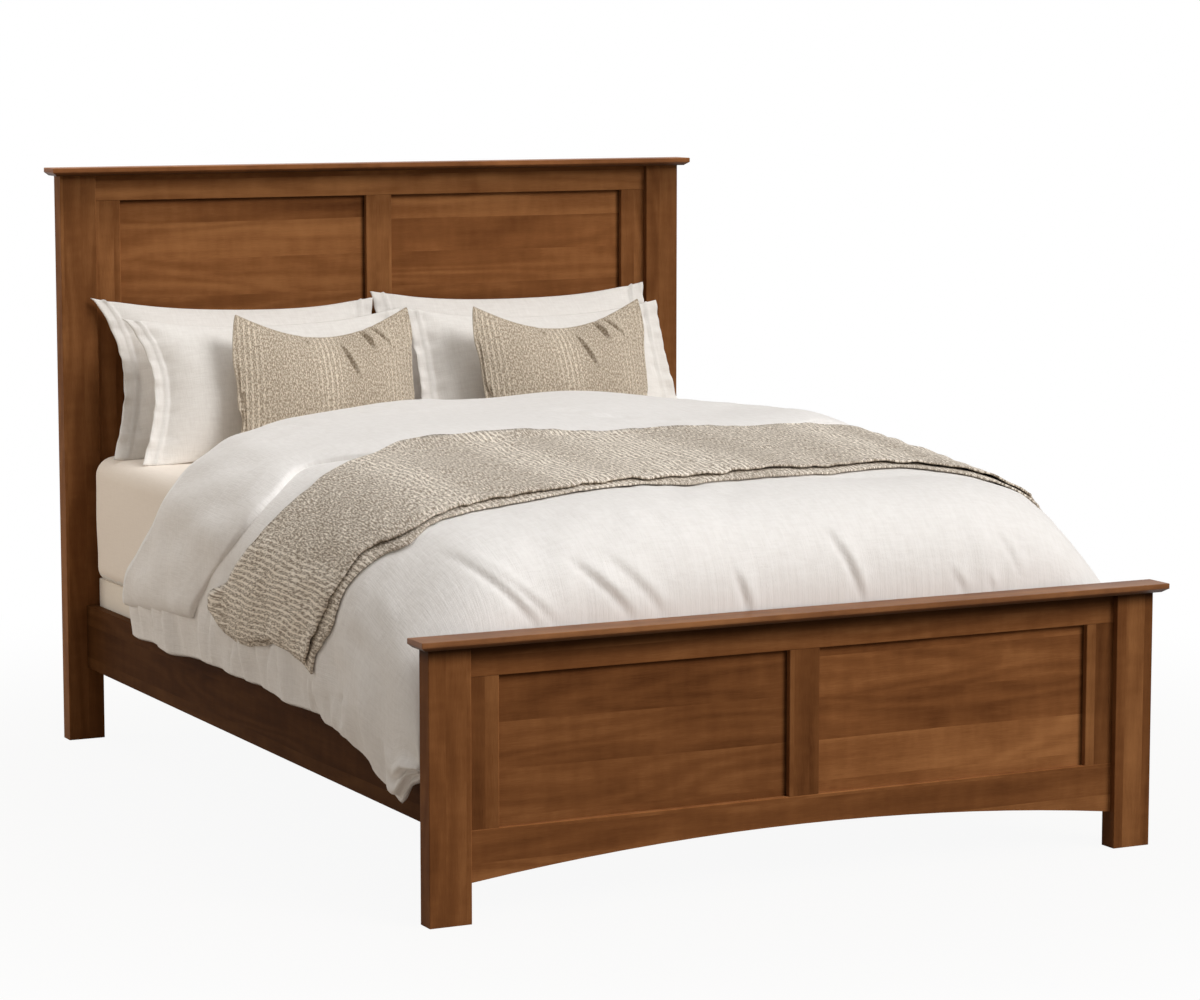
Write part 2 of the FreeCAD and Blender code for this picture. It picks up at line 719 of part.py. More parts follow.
CROSS_BOARDS = 7
frame_x = "cover_thick + fit_gap - foundation_half"
frame_wide = "2 * (foundation_half - cover_thick - fit_gap)"
frame_y = "mattress_foot + cover_thick + fit_gap"
frame_long = "%s - 2 * (cover_thick + fit_gap)" % bed_long
frame_z = "slat_top", "foundation_height - cover_thick - fit_gap"
boards = [block("foundation_side_%s" % label, (x, "board_thick"), (frame_y, frame_long), frame_z)
          for label, x in (("left", frame_x), ("right", "-(%s) - board_thick" % frame_x))]
for number in range(CROSS_BOARDS):
    y = "%s + %d * (%s - board_thick) / %d" % (frame_y, number, frame_long, CROSS_BOARDS - 1)
    boards.append(block("foundation_cross_%d" % (number + 1), (frame_x, frame_wide),
                        (y, "board_thick"), frame_z))
node("foundation_frame", joined("foundation_frame", boards))


# Mattress and fitted sheet
# One sewn mattress with rounded edges; the sheet is a thin skin over it, tucked in at the bottom.
def mattress_form(name, grow):
    """The mattress's rounded block, grown outwards by an amount."""
    item = block(name + "_blank", ("-mattress_half - (%s)" % grow, "2 * (mattress_half + %s)" % grow),
                 ("mattress_foot - (%s)" % grow, "%s + 2 * (%s)" % (bed_long, grow)),
                 ("mattress_low - (%s)" % grow, "mattress_thick + 2 * (%s)" % grow))
    doc.recompute()
    extra = item.Height.Value / 2 - size("mattress_thick") / 2
    box = item.Shape.BoundBox
    rounds = []
    for i, edge in enumerate(item.Shape.Edges, start=1):
        upright = along("z")(edge, box)
        top = edge.BoundBox.ZMin > box.Center.z
        kind = "mattress_corner" if upright else "mattress_top_round" if top else "mattress_low_round"
        rounds.append((i, size(kind) + extra, size(kind) + extra))
    form = doc.addObject("Part::Fillet", name)
    form.Base = item
    form.Edges = rounds
    return form


node("mattress", mattress_form("mattress", "0"))
tuck = block("fitted_sheet_opening", ("-half_width", "bed_width"), ("foot_back", "rail_length"),
             ("mattress_low - sheet_tuck", "2 * sheet_tuck"))
node("fitted_sheet", cut("fitted_sheet", mattress_form("fitted_sheet_outside", "soft_gap + sheet_thick"),
                         [mattress_form("fitted_sheet_inside", "soft_gap"), tuck]))
doc.recompute()


# Soft forms
# Lofts through sections of lines and arcs, in the sizes of the sheet.
def line(start, stop):
    return Part.LineSegment(start, stop).toShape()


def arc(start, via, stop):
    return Part.Arc(start, via, stop).toShape()


def soft_node(name, shape, at=Vector()):
    item = doc.addObject("Part::Feature", name)
    item.Shape = shape
    item.Placement = Placement(at, Rotation())
    node(name, item)


def plain_box(x, y, z):
    """A box between three pairs of values."""
    return Part.makeBox(x[1] - x[0], y[1] - y[0], z[1] - z[0], Vector(x[0], y[0], z[0]))


# Duvet
# A filled cover that domes over the mattress, hangs over both rails with a puckered hem, drops behind
# the footboard and is turned down towards the foot in a thick rolled band.
FOOT_ROWS = {0: 1, 0.06: 0.8, 0.2: 0.15, 0.5: 0.75, 1: 1}
FOOT_ROUND = 2.6
PLAIN_ROWS = 4
PLAIN_RISE = 0.6
BAND_ROWS = 3
ROLL_ROWS = (0.5, 0.85, 1)
ROLL_CLOSED = 0.97
CORNER_HOLD = 0.35
SHOULDER_GROWTH = 1 / 3
MIDDLE_GROWTH = 0.8


def duvet_rows():
    """Each row of the duvet: its place along the bed, its crown, its hem, how far its shoulders draw in
    and how far they fall, as a share of their full fall."""
    base = size("bedding_top")
    foot = size("duvet_foot")
    depth = size("duvet_foot_depth")
    fold = size("fold_end")
    fall = size("duvet_foot_fall")
    climb = fall + size("duvet_rise_foot")
    roll = size("fold_roll")
    spots = []
    for part, fallen in FOOT_ROWS.items():
        rise = climb * (1 - (1 - part) ** FOOT_ROUND) ** (1 / FOOT_ROUND) - fall
        spots.append((foot + part * depth, rise, fallen))
    band = fold - size("fold_band")
    start = foot + depth
    for number in range(1, PLAIN_ROWS + 1):
        part = number / PLAIN_ROWS
        rise = size("duvet_rise_mid") - size("duvet_rise_foot")
        rise = size("duvet_rise_foot") + rise * part ** PLAIN_RISE
        spots.append((start + part * (band - start), rise, 1))
    for number in range(BAND_ROWS):
        part = number / (BAND_ROWS - 1)
        rise = size("duvet_rise_mid") + size("fold_step")
        rise += (size("duvet_rise_band") + size("fold_step") - rise) * part
        y = band + size("fold_step") + part * (size("fold_band") - size("fold_step") - roll)
        spots.append((y, rise, 1))
    top = size("duvet_rise_band") + size("fold_step")
    for part in ROLL_ROWS:
        rise = top - roll * (1 - math.sqrt(1 - (ROLL_CLOSED * part) ** 2))
        spots.append((fold - roll + part * roll, rise, 1))
    rows = []
    for number, (y, rise, fallen) in enumerate(spots):
        climbed = min(1, (y - foot) / size("duvet_hem_climb"))
        hem = size("duvet_hem_foot") + (size("duvet_hem") - size("duvet_hem_foot")) * climbed
        hem += size("hem_pucker") * (-1) ** number
        rolled = max(0, (y - fold + roll) / roll)
        draw = size("duvet_end_draw") * max((1 - climbed) ** 3, rolled)
        rows.append((y, base + rise, hem, draw, fallen))
    return rows


def duvet_section(y, crown, hem, draw, fallen, grow):
    """One row's outline: hem, bulging side, round shoulder and shallow dome, grown outwards for the throw."""
    reach = size("duvet_reach") + grow
    low = reach - size("duvet_side_draw"), hem
    shoulder_fall = size("duvet_shoulder_fall") * (CORNER_HOLD + (1 - CORNER_HOLD) * fallen)
    shoulder = reach - draw - size("duvet_shoulder_draw"), crown - shoulder_fall + SHOULDER_GROWTH * grow
    middle_fall = size("duvet_top_fall") + (size("duvet_mid_fall") - size("duvet_top_fall")) * fallen
    middle = (reach - draw - size("duvet_shoulder_mid") - SHOULDER_GROWTH * grow,
              crown - middle_fall + MIDDLE_GROWTH * grow)
    end = size("duvet_reach") - size("duvet_top_end"), crown - size("duvet_top_fall") + grow
    side = reach - draw / 3, (hem + shoulder[1]) / 2

    def spot(point, sign):
        return Vector(sign * point[0], y, point[1])

    edges = [line(spot(low, -1), spot(low, 1))]
    edges.append(arc(spot(low, 1), spot(side, 1), spot(shoulder, 1)))
    edges.append(arc(spot(shoulder, 1), spot(middle, 1), spot(end, 1)))
    edges.append(arc(spot(end, 1), Vector(0, y, crown + grow), spot(end, -1)))
    edges.append(arc(spot(end, -1), spot(middle, -1), spot(shoulder, -1)))
    edges.append(arc(spot(shoulder, -1), spot(side, -1), spot(low, -1)))
    return Part.Wire(edges)


def duvet_form(grow):
    return Part.makeLoft([duvet_section(*row, grow) for row in duvet_rows()], True, True)


gap = size("soft_gap")
inside_form = mattress_form("duvet_inside", "2 * soft_gap + sheet_thick")
doc.recompute()
bed_ends = size("mattress_foot") - gap, size("head_front")
rail_hug = size("rail_outer") + gap
rail_clear = size("rail_inner") - size("hook_thick") - gap
below = 0, size("rail_top") + gap
inside = [inside_form.Shape.copy(),
          plain_box((-rail_hug, rail_hug), bed_ends, below),
          plain_box((-size("foundation_half") - gap, size("foundation_half") + gap), bed_ends,
                    (0, size("mattress_low") + size("mattress_low_round") + gap))]
for low, high in ((-rail_hug, -rail_clear), (rail_clear, rail_hug)):
    inside.append(plain_box((low, high), (size("foot_back"), size("head_front")), below))
doc.removeObject(inside_form.Name)
doc.removeObject("duvet_inside_blank")
soft_node("duvet", duvet_form(0).cut(inside))


# Throw
# A woven throw folded in two along its length and laid across the bed, its ends hanging in shallow scallops.
SCALLOPS = 3


def throw_cutter(start):
    """The throw's outline seen from the side: straight on top, swept towards the head on the drop."""
    stop = size("foot_front") + size("throw_start") + size("throw_width")
    skew = size("throw_skew")
    knee = size("throw_knee")
    end = size("throw_end")
    reach = 2 * size("duvet_reach")
    high = size("bedding_top") + size("mattress_thick")
    points = [Vector(-reach, start + skew, end), Vector(-reach, start, knee), Vector(-reach, start, high),
              Vector(-reach, stop, high), Vector(-reach, stop, knee), Vector(-reach, stop + skew, end)]
    edges = [line(a, b) for a, b in zip(points, points[1:])]
    hem = points[0] - points[-1]
    for number in range(SCALLOPS):
        a = points[-1] + hem * (number / SCALLOPS)
        b = points[-1] + hem * ((number + 1) / SCALLOPS)
        edges.append(arc(a, (a + b) / 2 - Vector(0, 0, size("throw_scallop")), b))
    return Part.Face(Part.Wire(edges)).extrude(Vector(2 * reach, 0, 0))


layer = size("throw_layer")
forms = [duvet_form(size("throw_gap") + number * layer) for number in range(3)]
upper_start = size("foot_front") + size("throw_start")
lower = forms[1].cut(forms[0]).common(throw_cutter(upper_start - size("throw_peek")))
upper = forms[2].cut(forms[1]).common(throw_cutter(upper_start))
soft_node("throw", lower.fuse(upper))


# Pillows and cushions
# Filled covers leaning back in three rows: a fuller front, a flatter back, drawn-in sides and a sagging top.
# The pillows' covers have a flat flange.
STATIONS = (-1, -0.88, -0.65, -0.33, 0, 0.33, 0.65, 0.88, 1)
LEAST_FILL = 0.03
FOOT_SHARE = 0.45
FRONT_BULGE_AT = 0.42
BACK_BULGE_AT = 0.45
FILL_EASE = 3, 0.6


def filled_section(x, tall, front, back, edge, flange):
    """One upright section: flat foot, bulging front, thin flange on top, flatter back."""
    half = edge / 2
    foot_front = half + FOOT_SHARE * (front - half)
    foot_back = half + FOOT_SHARE * (back - half)
    neck = tall - flange

    def spot(out, up):
        return Vector(x, -out, up)

    return Part.Wire([
        line(spot(-foot_back, 0), spot(foot_front, 0)),
        arc(spot(foot_front, 0), spot(front, FRONT_BULGE_AT * tall), spot(half, neck)),
        line(spot(half, neck), spot(half, tall)),
        line(spot(half, tall), spot(-half, tall)),
        line(spot(-half, tall), spot(-half, neck)),
        arc(spot(-half, neck), spot(-back, BACK_BULGE_AT * tall), spot(-foot_back, 0)),
    ])


def filled_form(wide, tall, front, back, edge, flange, sag, draw):
    """A filled cover on its foot, leaning back, cut flat where it rests."""
    half = wide / 2
    inner = half - flange
    spots = [(-half, 1)] + [(part * inner, abs(part)) for part in STATIONS] + [(half, 1)]
    sections = []
    for x, part in spots:
        fill = max(LEAST_FILL, (1 - part ** FILL_EASE[0]) ** FILL_EASE[1])
        high = tall - sag * (1 - (x / half) ** 2)
        sections.append(filled_section(x, high, edge / 2 + (front - edge / 2) * fill,
                                       edge / 2 + (back - edge / 2) * fill, edge, flange))
    form = Part.makeLoft(sections, True, True)
    radius = ((tall / 2) ** 2 + draw ** 2) / (2 * draw)
    for sign in (-1, 1):
        hub = Vector(sign * (half - draw + radius), -wide, tall / 2)
        form = form.cut(Part.makeCylinder(radius, 2 * wide, hub, AXES["y"]))
    form.rotate(Vector(), AXES["x"], -size("pillow_lean"))
    lowest = min(point.z for point in form.tessellate(0.5)[0])
    form.translate(Vector(0, 0, -lowest - size("pillow_sink")))
    under = plain_box((-wide, wide), (-tall, tall), (-tall, 0))
    return form.cut(under)


def filled_node(name, kind, side, edge, flange, sag, draw):
    form = filled_form(size(kind + "_width"), size(kind + "_height"), size(kind + "_front"),
                       size(kind + "_back"), edge, flange, sag, draw)
    out = size("mattress_half") - size(kind + "_inset") - size(kind + "_width") / 2
    x = size(kind + "_shift") + side * out
    soft_node(name, form, Vector(x, size(kind + "_y"), size("bedding_top") + size("soft_gap")))


for side_name, side in SIDES.items():
    for row in ("back", "front"):
        filled_node("pillow_%s_%s" % (row, side_name), row + "_pillow", side, size("pillow_edge"),
                    size("pillow_flange"), size("pillow_sag"), size("pillow_draw"))
    filled_node("cushion_" + side_name, "cushion", side, size("cushion_edge"), size("cushion_edge"),
                size("cushion_sag"), size("cushion_draw"))

# Everything is computed, checked and written, one file for each piece.
doc.recompute()
for item in doc.Objects:
    if "Invalid" in item.State or "Error" in item.State:
        raise RuntimeError("%s failed to compute" % item.Label)
for item in nodes:
    if item.Shape.isNull() or not item.Shape.isValid():
        raise RuntimeError("%s has no valid shape" % item.Label)

os.makedirs("parts", exist_ok=True)
for item in nodes:
    item.Shape.exportStep("parts/%s.step" % item.Label)
print("%d pieces written" % len(nodes))
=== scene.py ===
import math

import bpy
import numpy as np
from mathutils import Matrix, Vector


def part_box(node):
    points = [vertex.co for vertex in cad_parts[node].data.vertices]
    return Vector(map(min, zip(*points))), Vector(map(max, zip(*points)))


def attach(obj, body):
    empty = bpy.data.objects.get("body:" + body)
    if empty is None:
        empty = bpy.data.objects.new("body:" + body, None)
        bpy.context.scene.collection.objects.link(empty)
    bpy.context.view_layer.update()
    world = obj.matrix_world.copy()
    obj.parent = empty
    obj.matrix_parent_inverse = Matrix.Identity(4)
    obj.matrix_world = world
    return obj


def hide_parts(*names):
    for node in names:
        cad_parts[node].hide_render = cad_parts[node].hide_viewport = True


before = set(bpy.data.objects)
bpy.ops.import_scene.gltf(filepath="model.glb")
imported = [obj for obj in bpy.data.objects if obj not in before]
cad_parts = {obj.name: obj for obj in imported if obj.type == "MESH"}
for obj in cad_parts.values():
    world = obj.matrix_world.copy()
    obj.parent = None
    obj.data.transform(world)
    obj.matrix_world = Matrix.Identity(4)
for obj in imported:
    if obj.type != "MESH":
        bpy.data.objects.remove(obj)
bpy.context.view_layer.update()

# Headboard and footboard: two posts, a cap, rails and stiles round flat panels set back in grooves.
# Solid hardwood with a close grain, edge-glued from narrow boards, stained brown and satin lacquered.
# The joints are glued and the caps sit on dowels, so every piece stays where it is.


def feed(node, inputs):
    """Gives a shader node its inputs, as values or as sockets to link."""
    for key, value in inputs.items():
        if isinstance(value, bpy.types.NodeSocket):
            node.id_data.links.new(value, node.inputs[key])
        else:
            node.inputs[key].default_value = value


def add(tree, kind, inputs=None, **settings):
    """Adds one shader node, with its settings and its inputs."""
    node = tree.nodes.new("ShaderNode" + kind)
    for key, value in settings.items():
        setattr(node, key, value)
    feed(node, inputs or {})
    return node


def calc(operation, *values):
    """One Math node's result, clamped to 0..1 when the operation's name ends in a plus."""
    node = add(values[0].id_data, "Math", dict(enumerate(values)), operation=operation.rstrip("+"))
    node.use_clamp = operation.endswith("+")
    return node.outputs[0]


def ranged(value, source=(0.0, 1.0), target=(0.0, 1.0), kind="LINEAR"):
    """A value carried from one range to another and held within it."""
    ends = {"From Min": source[0], "From Max": source[1], "To Min": target[0], "To Max": target[1]}
    node = add(value.id_data, "MapRange", {"Value": value, **ends}, interpolation_type=kind)
    return node.outputs["Result"]


def relief(height, strength, distance):
    """The bumpy normal of a height, whose full range stands for a distance in metres."""
    bump = add(height.id_data, "Bump", {"Height": height, "Strength": strength, "Distance": distance})
    return bump.outputs["Normal"]


def finish_named(name):
    """A new material with only its surface shader and output, as (material, node tree, shader)."""
    material = bpy.data.materials.new(name)
    material.use_nodes = True
    tree = material.node_tree
    return material, tree, tree.nodes["Principled BSDF"]


def blend(factor, *colours):
    """A colour that goes evenly through the colours as the factor goes from 0 to 1."""
    ramp = add(factor.id_data, "ValToRGB", {"Fac": factor})
    stops = ramp.color_ramp.elements
    for place in np.linspace(0, 1, len(colours))[1:-1]:
        stops.new(place)
    for stop, colour in zip(stops, colours):
        stop.color = (*colour, 1)
    return ramp.outputs["Color"]


STAINS = np.array([(0.075, 0.025, 0.0078), (0.18, 0.0695, 0.0235), (0.318, 0.139, 0.051)])


def stained_wood(name, grain, board, seed, tone=1.0, gloss=0.012, painted_light=()):
    """Stained hardwood whose grain runs along one axis of the bed.

    Across the grain it is cut into boards of one width, each with its own tone and its own stretch
    of figure. The figure is the level lines of a long slow noise, over soft streaks, short curl
    across the grain and fine fibre. Darker where these add up to less. Painted light changes the
    colour along an edge: each is an axis, a place on it, how far it reaches and the share left there,
    less than one for painted shade in a corner or under a part and more for a painted highlight on an edge.
    """
    material, tree, shader = finish_named(name)
    place = add(tree, "SeparateXYZ", {"Vector": add(tree, "TexCoord").outputs["Object"]}).outputs
    along, across, deep = (place[i] for i in {"X": (0, 2, 1), "Y": (1, 2, 0), "Z": (2, 0, 1)}[grain])

    def grain_noise(run, width, detail, rough, shift):
        """A noise with so many waves to the metre along the grain and across it."""
        shifted = calc("ADD", calc("MULTIPLY", along, run), shift)
        spot = add(tree, "CombineXYZ", {"X": shifted, "Y": calc("MULTIPLY", across, width),
                                        "Z": calc("MULTIPLY", deep, width)}).outputs[0]
        return add(tree, "TexNoise", {"Vector": spot, "Scale": 1.0, "Detail": detail,
                                      "Roughness": rough}).outputs["Fac"]

    bend = calc("MULTIPLY", grain_noise(0.9, 3.0, 1.0, 0.4, seed * 5.3), 0.25)
    lane = calc("ADD", calc("MULTIPLY_ADD", across, 1 / board, seed * 0.37), bend)
    number = calc("FLOOR", lane)
    shade = add(tree, "TexWhiteNoise", {"W": calc("ADD", number, seed * 11.7)},
                noise_dimensions="1D").outputs["Value"]
    shift = calc("MULTIPLY_ADD", number, 7.31, seed * 3.9)
    streak = grain_noise(1.5, 26.0, 5.0, 0.55, shift)
    level = calc("MULTIPLY", grain_noise(1.1, 7.0, 2.0, 0.4, shift), 62.0)
    figure = calc("MULTIPLY_ADD", calc("SINE", level), 0.5, 0.5)
    curl = grain_noise(34.0, 11.0, 2.0, 0.5, shift)
    cloud = grain_noise(2.4, 4.0, 2.0, 0.5, shift)
    fibre = grain_noise(36.0, 620.0, 2.0, 0.6, shift)
    mass = calc("MULTIPLY", streak, 0.5)
    for part, weight in ((figure, 0.1), (curl, 0.2), (cloud, 0.42), (fibre, 0.22), (shade, 0.24)):
        mass = calc("MULTIPLY_ADD", part, weight, mass)
    light = calc("MULTIPLY_ADD+", calc("SUBTRACT", mass, 0.5), 1.45, 0.05)
    colour = blend(light, *(STAINS * tone))
    # Painted light: near each edge the colour is scaled down for painted shade or up for a painted highlight.
    for axis, edge, reach, left in painted_light:
        away = calc("ABSOLUTE", calc("SUBTRACT", place[axis], edge))
        share = ranged(away, (0.0, reach), (left, 1.0), "SMOOTHSTEP")
        colour = add(tree, "VectorMath", {0: colour, "Scale": share}, operation="SCALE").outputs[0]
    feed(shader, {"Base Color": colour, "Roughness": ranged(fibre, target=(0.36, 0.5)),
                  "Specular IOR Level": gloss, "Normal": relief(fibre, 0.05, 0.0006)})
    return material


def finish(material, *nodes):
    """Gives CAD nodes one finish all over, leaving their meshes as they are."""
    for node in nodes:
        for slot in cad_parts[node].material_slots:
            slot.material = material


# How dark the painted shade under each cap is and how far it reaches, and each piece's tone.
# The tones are partly painted light: the right-hand panels are lighter where light falls from the right,
# the caps lighter where they catch it, and the headboard's pieces raised against the shade painted under its
# cap.
BOARDS = {
    "headboard": dict(shade=0.66, reach=0.2, post_reach=0.14, post=0.95, stile=1.1, cap=1.55,
                      cap_gloss=0.09, rail=1.22, left=1.24, right=1.32),
    "footboard": dict(shade=0.2, reach=0.058, post_reach=0.036, post=0.98, stile=0.93, cap=1.08,
                      cap_gloss=0.15, rail=1.04, left=1.01, right=1.2)}
AXIS_X, AXIS_Z = 0, 2
# Painted shade along the cap's lower edge, under the top rail and beside the stile right of each panel: how
# far it reaches and the share it leaves.
CAP_SHADE, RAIL_SHADE, STILE_SHADE = (0.014, 0.22), (0.01, 0.45), (0.014, 0.4)
# Painted highlights along the inner edges of the left post and left stile and along the bottom rail's ledge.
EDGE_SHINE, LEDGE_SHINE = (0.0025, 1.5), (0.003, 1.5)
for number, (end, tone) in enumerate(BOARDS.items()):
    cap_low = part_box(end + "_cap")[0].z
    # Painted shade below each cap on the rails, stiles and panels, and reaching less far on the posts.
    under_cap = (AXIS_Z, cap_low, tone["reach"], tone["shade"])
    # Painted highlights along the inner edges of the left post and left stile.
    post_edge, stile_edge = (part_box(end + piece)[1].x for piece in ("_post_left", "_stile_left"))
    post_shade = (AXIS_Z, cap_low, tone["post_reach"], tone["shade"])
    finish(stained_wood(end + "_post_wood", "Z", 0.0445, 1 + number, tone["post"],
                        painted_light=[post_shade, (AXIS_X, post_edge, *EDGE_SHINE)]),
           end + "_post_left", end + "_post_right")
    finish(stained_wood(end + "_stile_wood", "Z", 0.036, 3 + number, tone["stile"],
                        painted_light=[under_cap, (AXIS_X, stile_edge, *EDGE_SHINE)]),
           end + "_stile_left", end + "_stile_mid", end + "_stile_right")
    # Painted shade along the cap's lower edge.
    finish(stained_wood(end + "_cap_wood", "X", 0.06, 5 + number, tone["cap"], tone["cap_gloss"],
                        [(AXIS_Z, cap_low, *CAP_SHADE)]), end + "_cap")
    # A painted highlight along the bottom rail's top edge, where its ledge would catch light.
    ledge = (AXIS_Z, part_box(end + "_bottom_rail")[1].z, *LEDGE_SHINE)
    finish(stained_wood(end + "_rail_wood", "X", 0.058, 7 + number, tone["rail"], painted_light=[under_cap, ledge]),
           end + "_top_rail", end + "_bottom_rail")
    # Painted shade on each panel under the top rail and beside the stile on its right.
    under_rail = (AXIS_Z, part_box(end + "_top_rail")[0].z, *RAIL_SHADE)
    for hand, board, seed, beside in (("left", 0.092, 9, "_stile_mid"), ("right", 0.084, 11, "_stile_right")):
        by_stile = (AXIS_X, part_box(end + beside)[0].x, *STILE_SHADE)
        finish(stained_wood("%s_%s_panel_wood" % (end, hand), "X", board, seed + number, tone[hand],
                            painted_light=[under_cap, under_rail, by_stile]), end + "_panel_" + hand)

# Side rails: one board each side, hung on the posts by hooked plates in slots.
# The same stained hardwood, with the grain along the bed, at a much lower tone: painted shade for the shaded
# sides of the bed.
finish(stained_wood("side_rail_wood", "Y", board=0.077, seed=14, tone=0.4, gloss=0.004),
       "side_rail_left", "side_rail_right")

# Slats, cleats, centre legs and the foundation's board frame: plain sawn softwood under the bedding.
# Screwed together and left bare, so the boards are pale with brown streaks.


def bare_wood(name, grain, seed):
    """Unfinished softwood: pale, with darker lines that follow a long noise along the grain."""
    material, tree, shader = finish_named(name)
    stretch = {"X": (1.6, 22, 22), "Y": (22, 1.6, 22), "Z": (22, 22, 1.6)}[grain]
    spot = add(tree, "Mapping", {"Vector": add(tree, "TexCoord").outputs["Object"], "Scale": stretch,
                                 "Location": (seed, seed * 2.0, seed * 3.0)}).outputs[0]
    year = add(tree, "TexNoise", {"Vector": spot, "Scale": 1.0, "Detail": 4.0,
                                  "Distortion": 0.4}).outputs["Fac"]
    ring = calc("MULTIPLY_ADD", calc("SINE", calc("MULTIPLY", year, 30.0)), 0.35, 0.5)
    feed(shader, {"Base Color": blend(ring, (0.42, 0.26, 0.13), (0.62, 0.45, 0.27)),
                  "Roughness": 0.68, "Normal": relief(year, 0.12, 0.001)})
    return material


finish(bare_wood("slat_wood", "X", 2), *("slat_%d" % (n + 1) for n in range(5)))
finish(bare_wood("cleat_wood", "Y", 4), "cleat_left", "cleat_right")
finish(bare_wood("leg_wood", "Z", 6), *("centre_leg_%d" % (n + 1) for n in range(3)))
finish(bare_wood("foundation_board_wood", "Y", 8), "foundation_frame")
finish(bare_wood("dowel_wood", "Z", 10), "cap_dowels")

# Plates, screws and threaded inserts: zinc-plated steel, pressed or turned.
# They hold the rails, cleats, slats and legs, and hardly show.


def clouded(name, waves, detail, dark, light, rough, metal=0.0, pitted=0.0):
    """A finish whose tint, roughness and pits follow one fine noise, with so many waves to the metre."""
    material, tree, shader = finish_named(name)
    spot = add(tree, "TexCoord").outputs["Object"]
    cloud = add(tree, "TexNoise", {"Vector": spot, "Scale": waves, "Detail": detail}).outputs["Fac"]
    feed(shader, {"Base Color": blend(cloud, dark, light), "Metallic": metal,
                  "Roughness": ranged(cloud, target=rough)})
    if pitted:
        feed(shader, {"Normal": relief(cloud, pitted, 0.0004)})
    return material


zinc = clouded("zinc_steel", 160.0, 4.0, (0.42, 0.42, 0.43), (0.62, 0.61, 0.58), rough=(0.28, 0.5), metal=1.0)
finish(zinc, "rail_hook_plates", "post_slot_plates", "hook_plate_screws", "slot_plate_screws", "cleat_screws",
       "slat_screws", "leg_screws", "leg_inserts")

# Levellers: moulded feet on threaded studs, wound in or out under each centre leg.
# Black nylon with a faint moulded grain.
nylon = clouded("leveller_nylon", 900.0, 2.0, (0.014, 0.014, 0.015), (0.03, 0.03, 0.031), rough=(0.4, 0.6),
                pitted=0.15)
finish(nylon, *("leveller_%d" % (n + 1) for n in range(3)))

# Foundation cover: woven ticking stretched over the board frame and stapled underneath.
# A rounded box of cloth, open below, with a sewn edge round its top.


def join(*parts, axis=0):
    """Arrays put end to end."""
    return np.concatenate(parts, axis)


def quads_of(rows, columns, start=0, flip=False, wrap=False):
    """Four-cornered faces between the rows of a grid; wrap joins the last column to the first."""
    index = start + np.arange(rows * columns).reshape(rows, columns)
    if wrap:
        index = join(index, index[:, :1], axis=1)
    corners = [index[:-1, :-1], index[:-1, 1:], index[1:, 1:], index[1:, :-1]]
    return np.stack(corners[::-1] if flip else corners, -1).reshape(-1, 4)


def put(name, data):
    """A new object in the scene, made of a mesh, lamp or camera."""
    thing = bpy.data.objects.new(name, data)
    bpy.context.collection.objects.link(thing)
    return thing


def soft_piece(name, points, quads, material, cut, caps=()):
    """A smooth mesh from points, faces and end caps, with the cloth's flat cut, in metres, as its UV map."""
    mesh = bpy.data.meshes.new(name)
    faces = quads.tolist() + list(caps)
    mesh.from_pydata(points.reshape(-1, 3).tolist(), [], faces)
    mesh.polygons.foreach_set("use_smooth", np.ones(len(mesh.polygons), bool))
    corners = join(quads.ravel(), *caps)
    mesh.uv_layers.new(name="cut").uv.foreach_set("vector", cut.reshape(-1, 2)[corners].ravel())
    mesh.materials.append(material)
    mesh.update()
    return put(name, mesh)


RING = 280


def rounded_ring(half_x, half_y, corner):
    """Points round a rectangle with arcs for corners: thirteen to each arc, the others along the sides."""
    turn = np.linspace(0, np.pi / 2, 13)
    side = np.linspace(0, 1, RING // 4 - 11)[1:-1, None]
    arcs = []
    for quarter, (x, y) in enumerate(((1, 1), (-1, 1), (-1, -1), (1, -1))):
        angle = turn + quarter * np.pi / 2
        arcs.append(np.stack([x * (half_x - corner) + corner * np.cos(angle),
                              y * (half_y - corner) + corner * np.sin(angle)], -1))
    rows = []
    for arc, after in zip(arcs, arcs[1:] + arcs[:1]):
        rows += [arc, arc[-1] + side * (after[0] - arc[-1])]
    return join(*rows)


def boxed(low, high, corner, insets, heights):
    """Rings round a box, one for each pair of inset from its sides and height: rows of points."""
    middle = (np.array(low) + np.array(high)) / 2
    half = (np.array(high) - np.array(low)) / 2
    rows = []
    for inset in insets:
        x, y = half[:2] - inset
        rows.append(rounded_ring(x, y, min(max(corner - inset, 0.003), 0.9 * x)) + middle[:2])
    tall = np.broadcast_to(np.asarray(heights)[:, None, None], (len(insets), RING, 1))
    return join(np.array(rows), tall, axis=-1)


SIDE_ROWS, EDGE_ROWS, TOP_ROWS = 8, 9, 14
SLIT = 0.002


def over_edge(radius, low, top, half):
    """A side, a rounded edge and a flat top as insets and heights, to a slit in the middle of the top."""
    turn = np.linspace(0, np.pi / 2, EDGE_ROWS)
    inset = join(np.zeros(SIDE_ROWS), radius * (1 - np.cos(turn)),
                 np.linspace(radius * 1.6, half - SLIT, TOP_ROWS))
    height = join(np.linspace(low, top - radius * 1.05, SIDE_ROWS),
                  top - radius + radius * np.sin(turn), np.full(TOP_ROWS, top))
    return inset, height


def cloth_noise(spot, along, across, detail=2.0):
    """A noise on the flat cut, with so many waves to the metre each way."""
    vector = add(spot.id_data, "Mapping", {"Vector": spot, "Scale": (along, across, 1)}).outputs[0]
    return add(spot.id_data, "TexNoise", {"Vector": vector, "Scale": 1.0, "Detail": detail},
               noise_dimensions="2D").outputs["Fac"]


def cloth_finish(shader, height, dark, light, depth, sheen, spread=0.2):
    """Cloth whose raised threads are lighter: colour and relief from one height, with a dry surface."""
    tone = ranged(height, (0.5 - spread, 0.5 + spread))
    feed(shader, {"Base Color": blend(tone, dark, light), "Roughness": 0.92,
                  "Normal": relief(height, 0.6, depth), "Specular IOR Level": 0.1,
                  "Sheen Weight": sheen, "Sheen Roughness": 0.5})


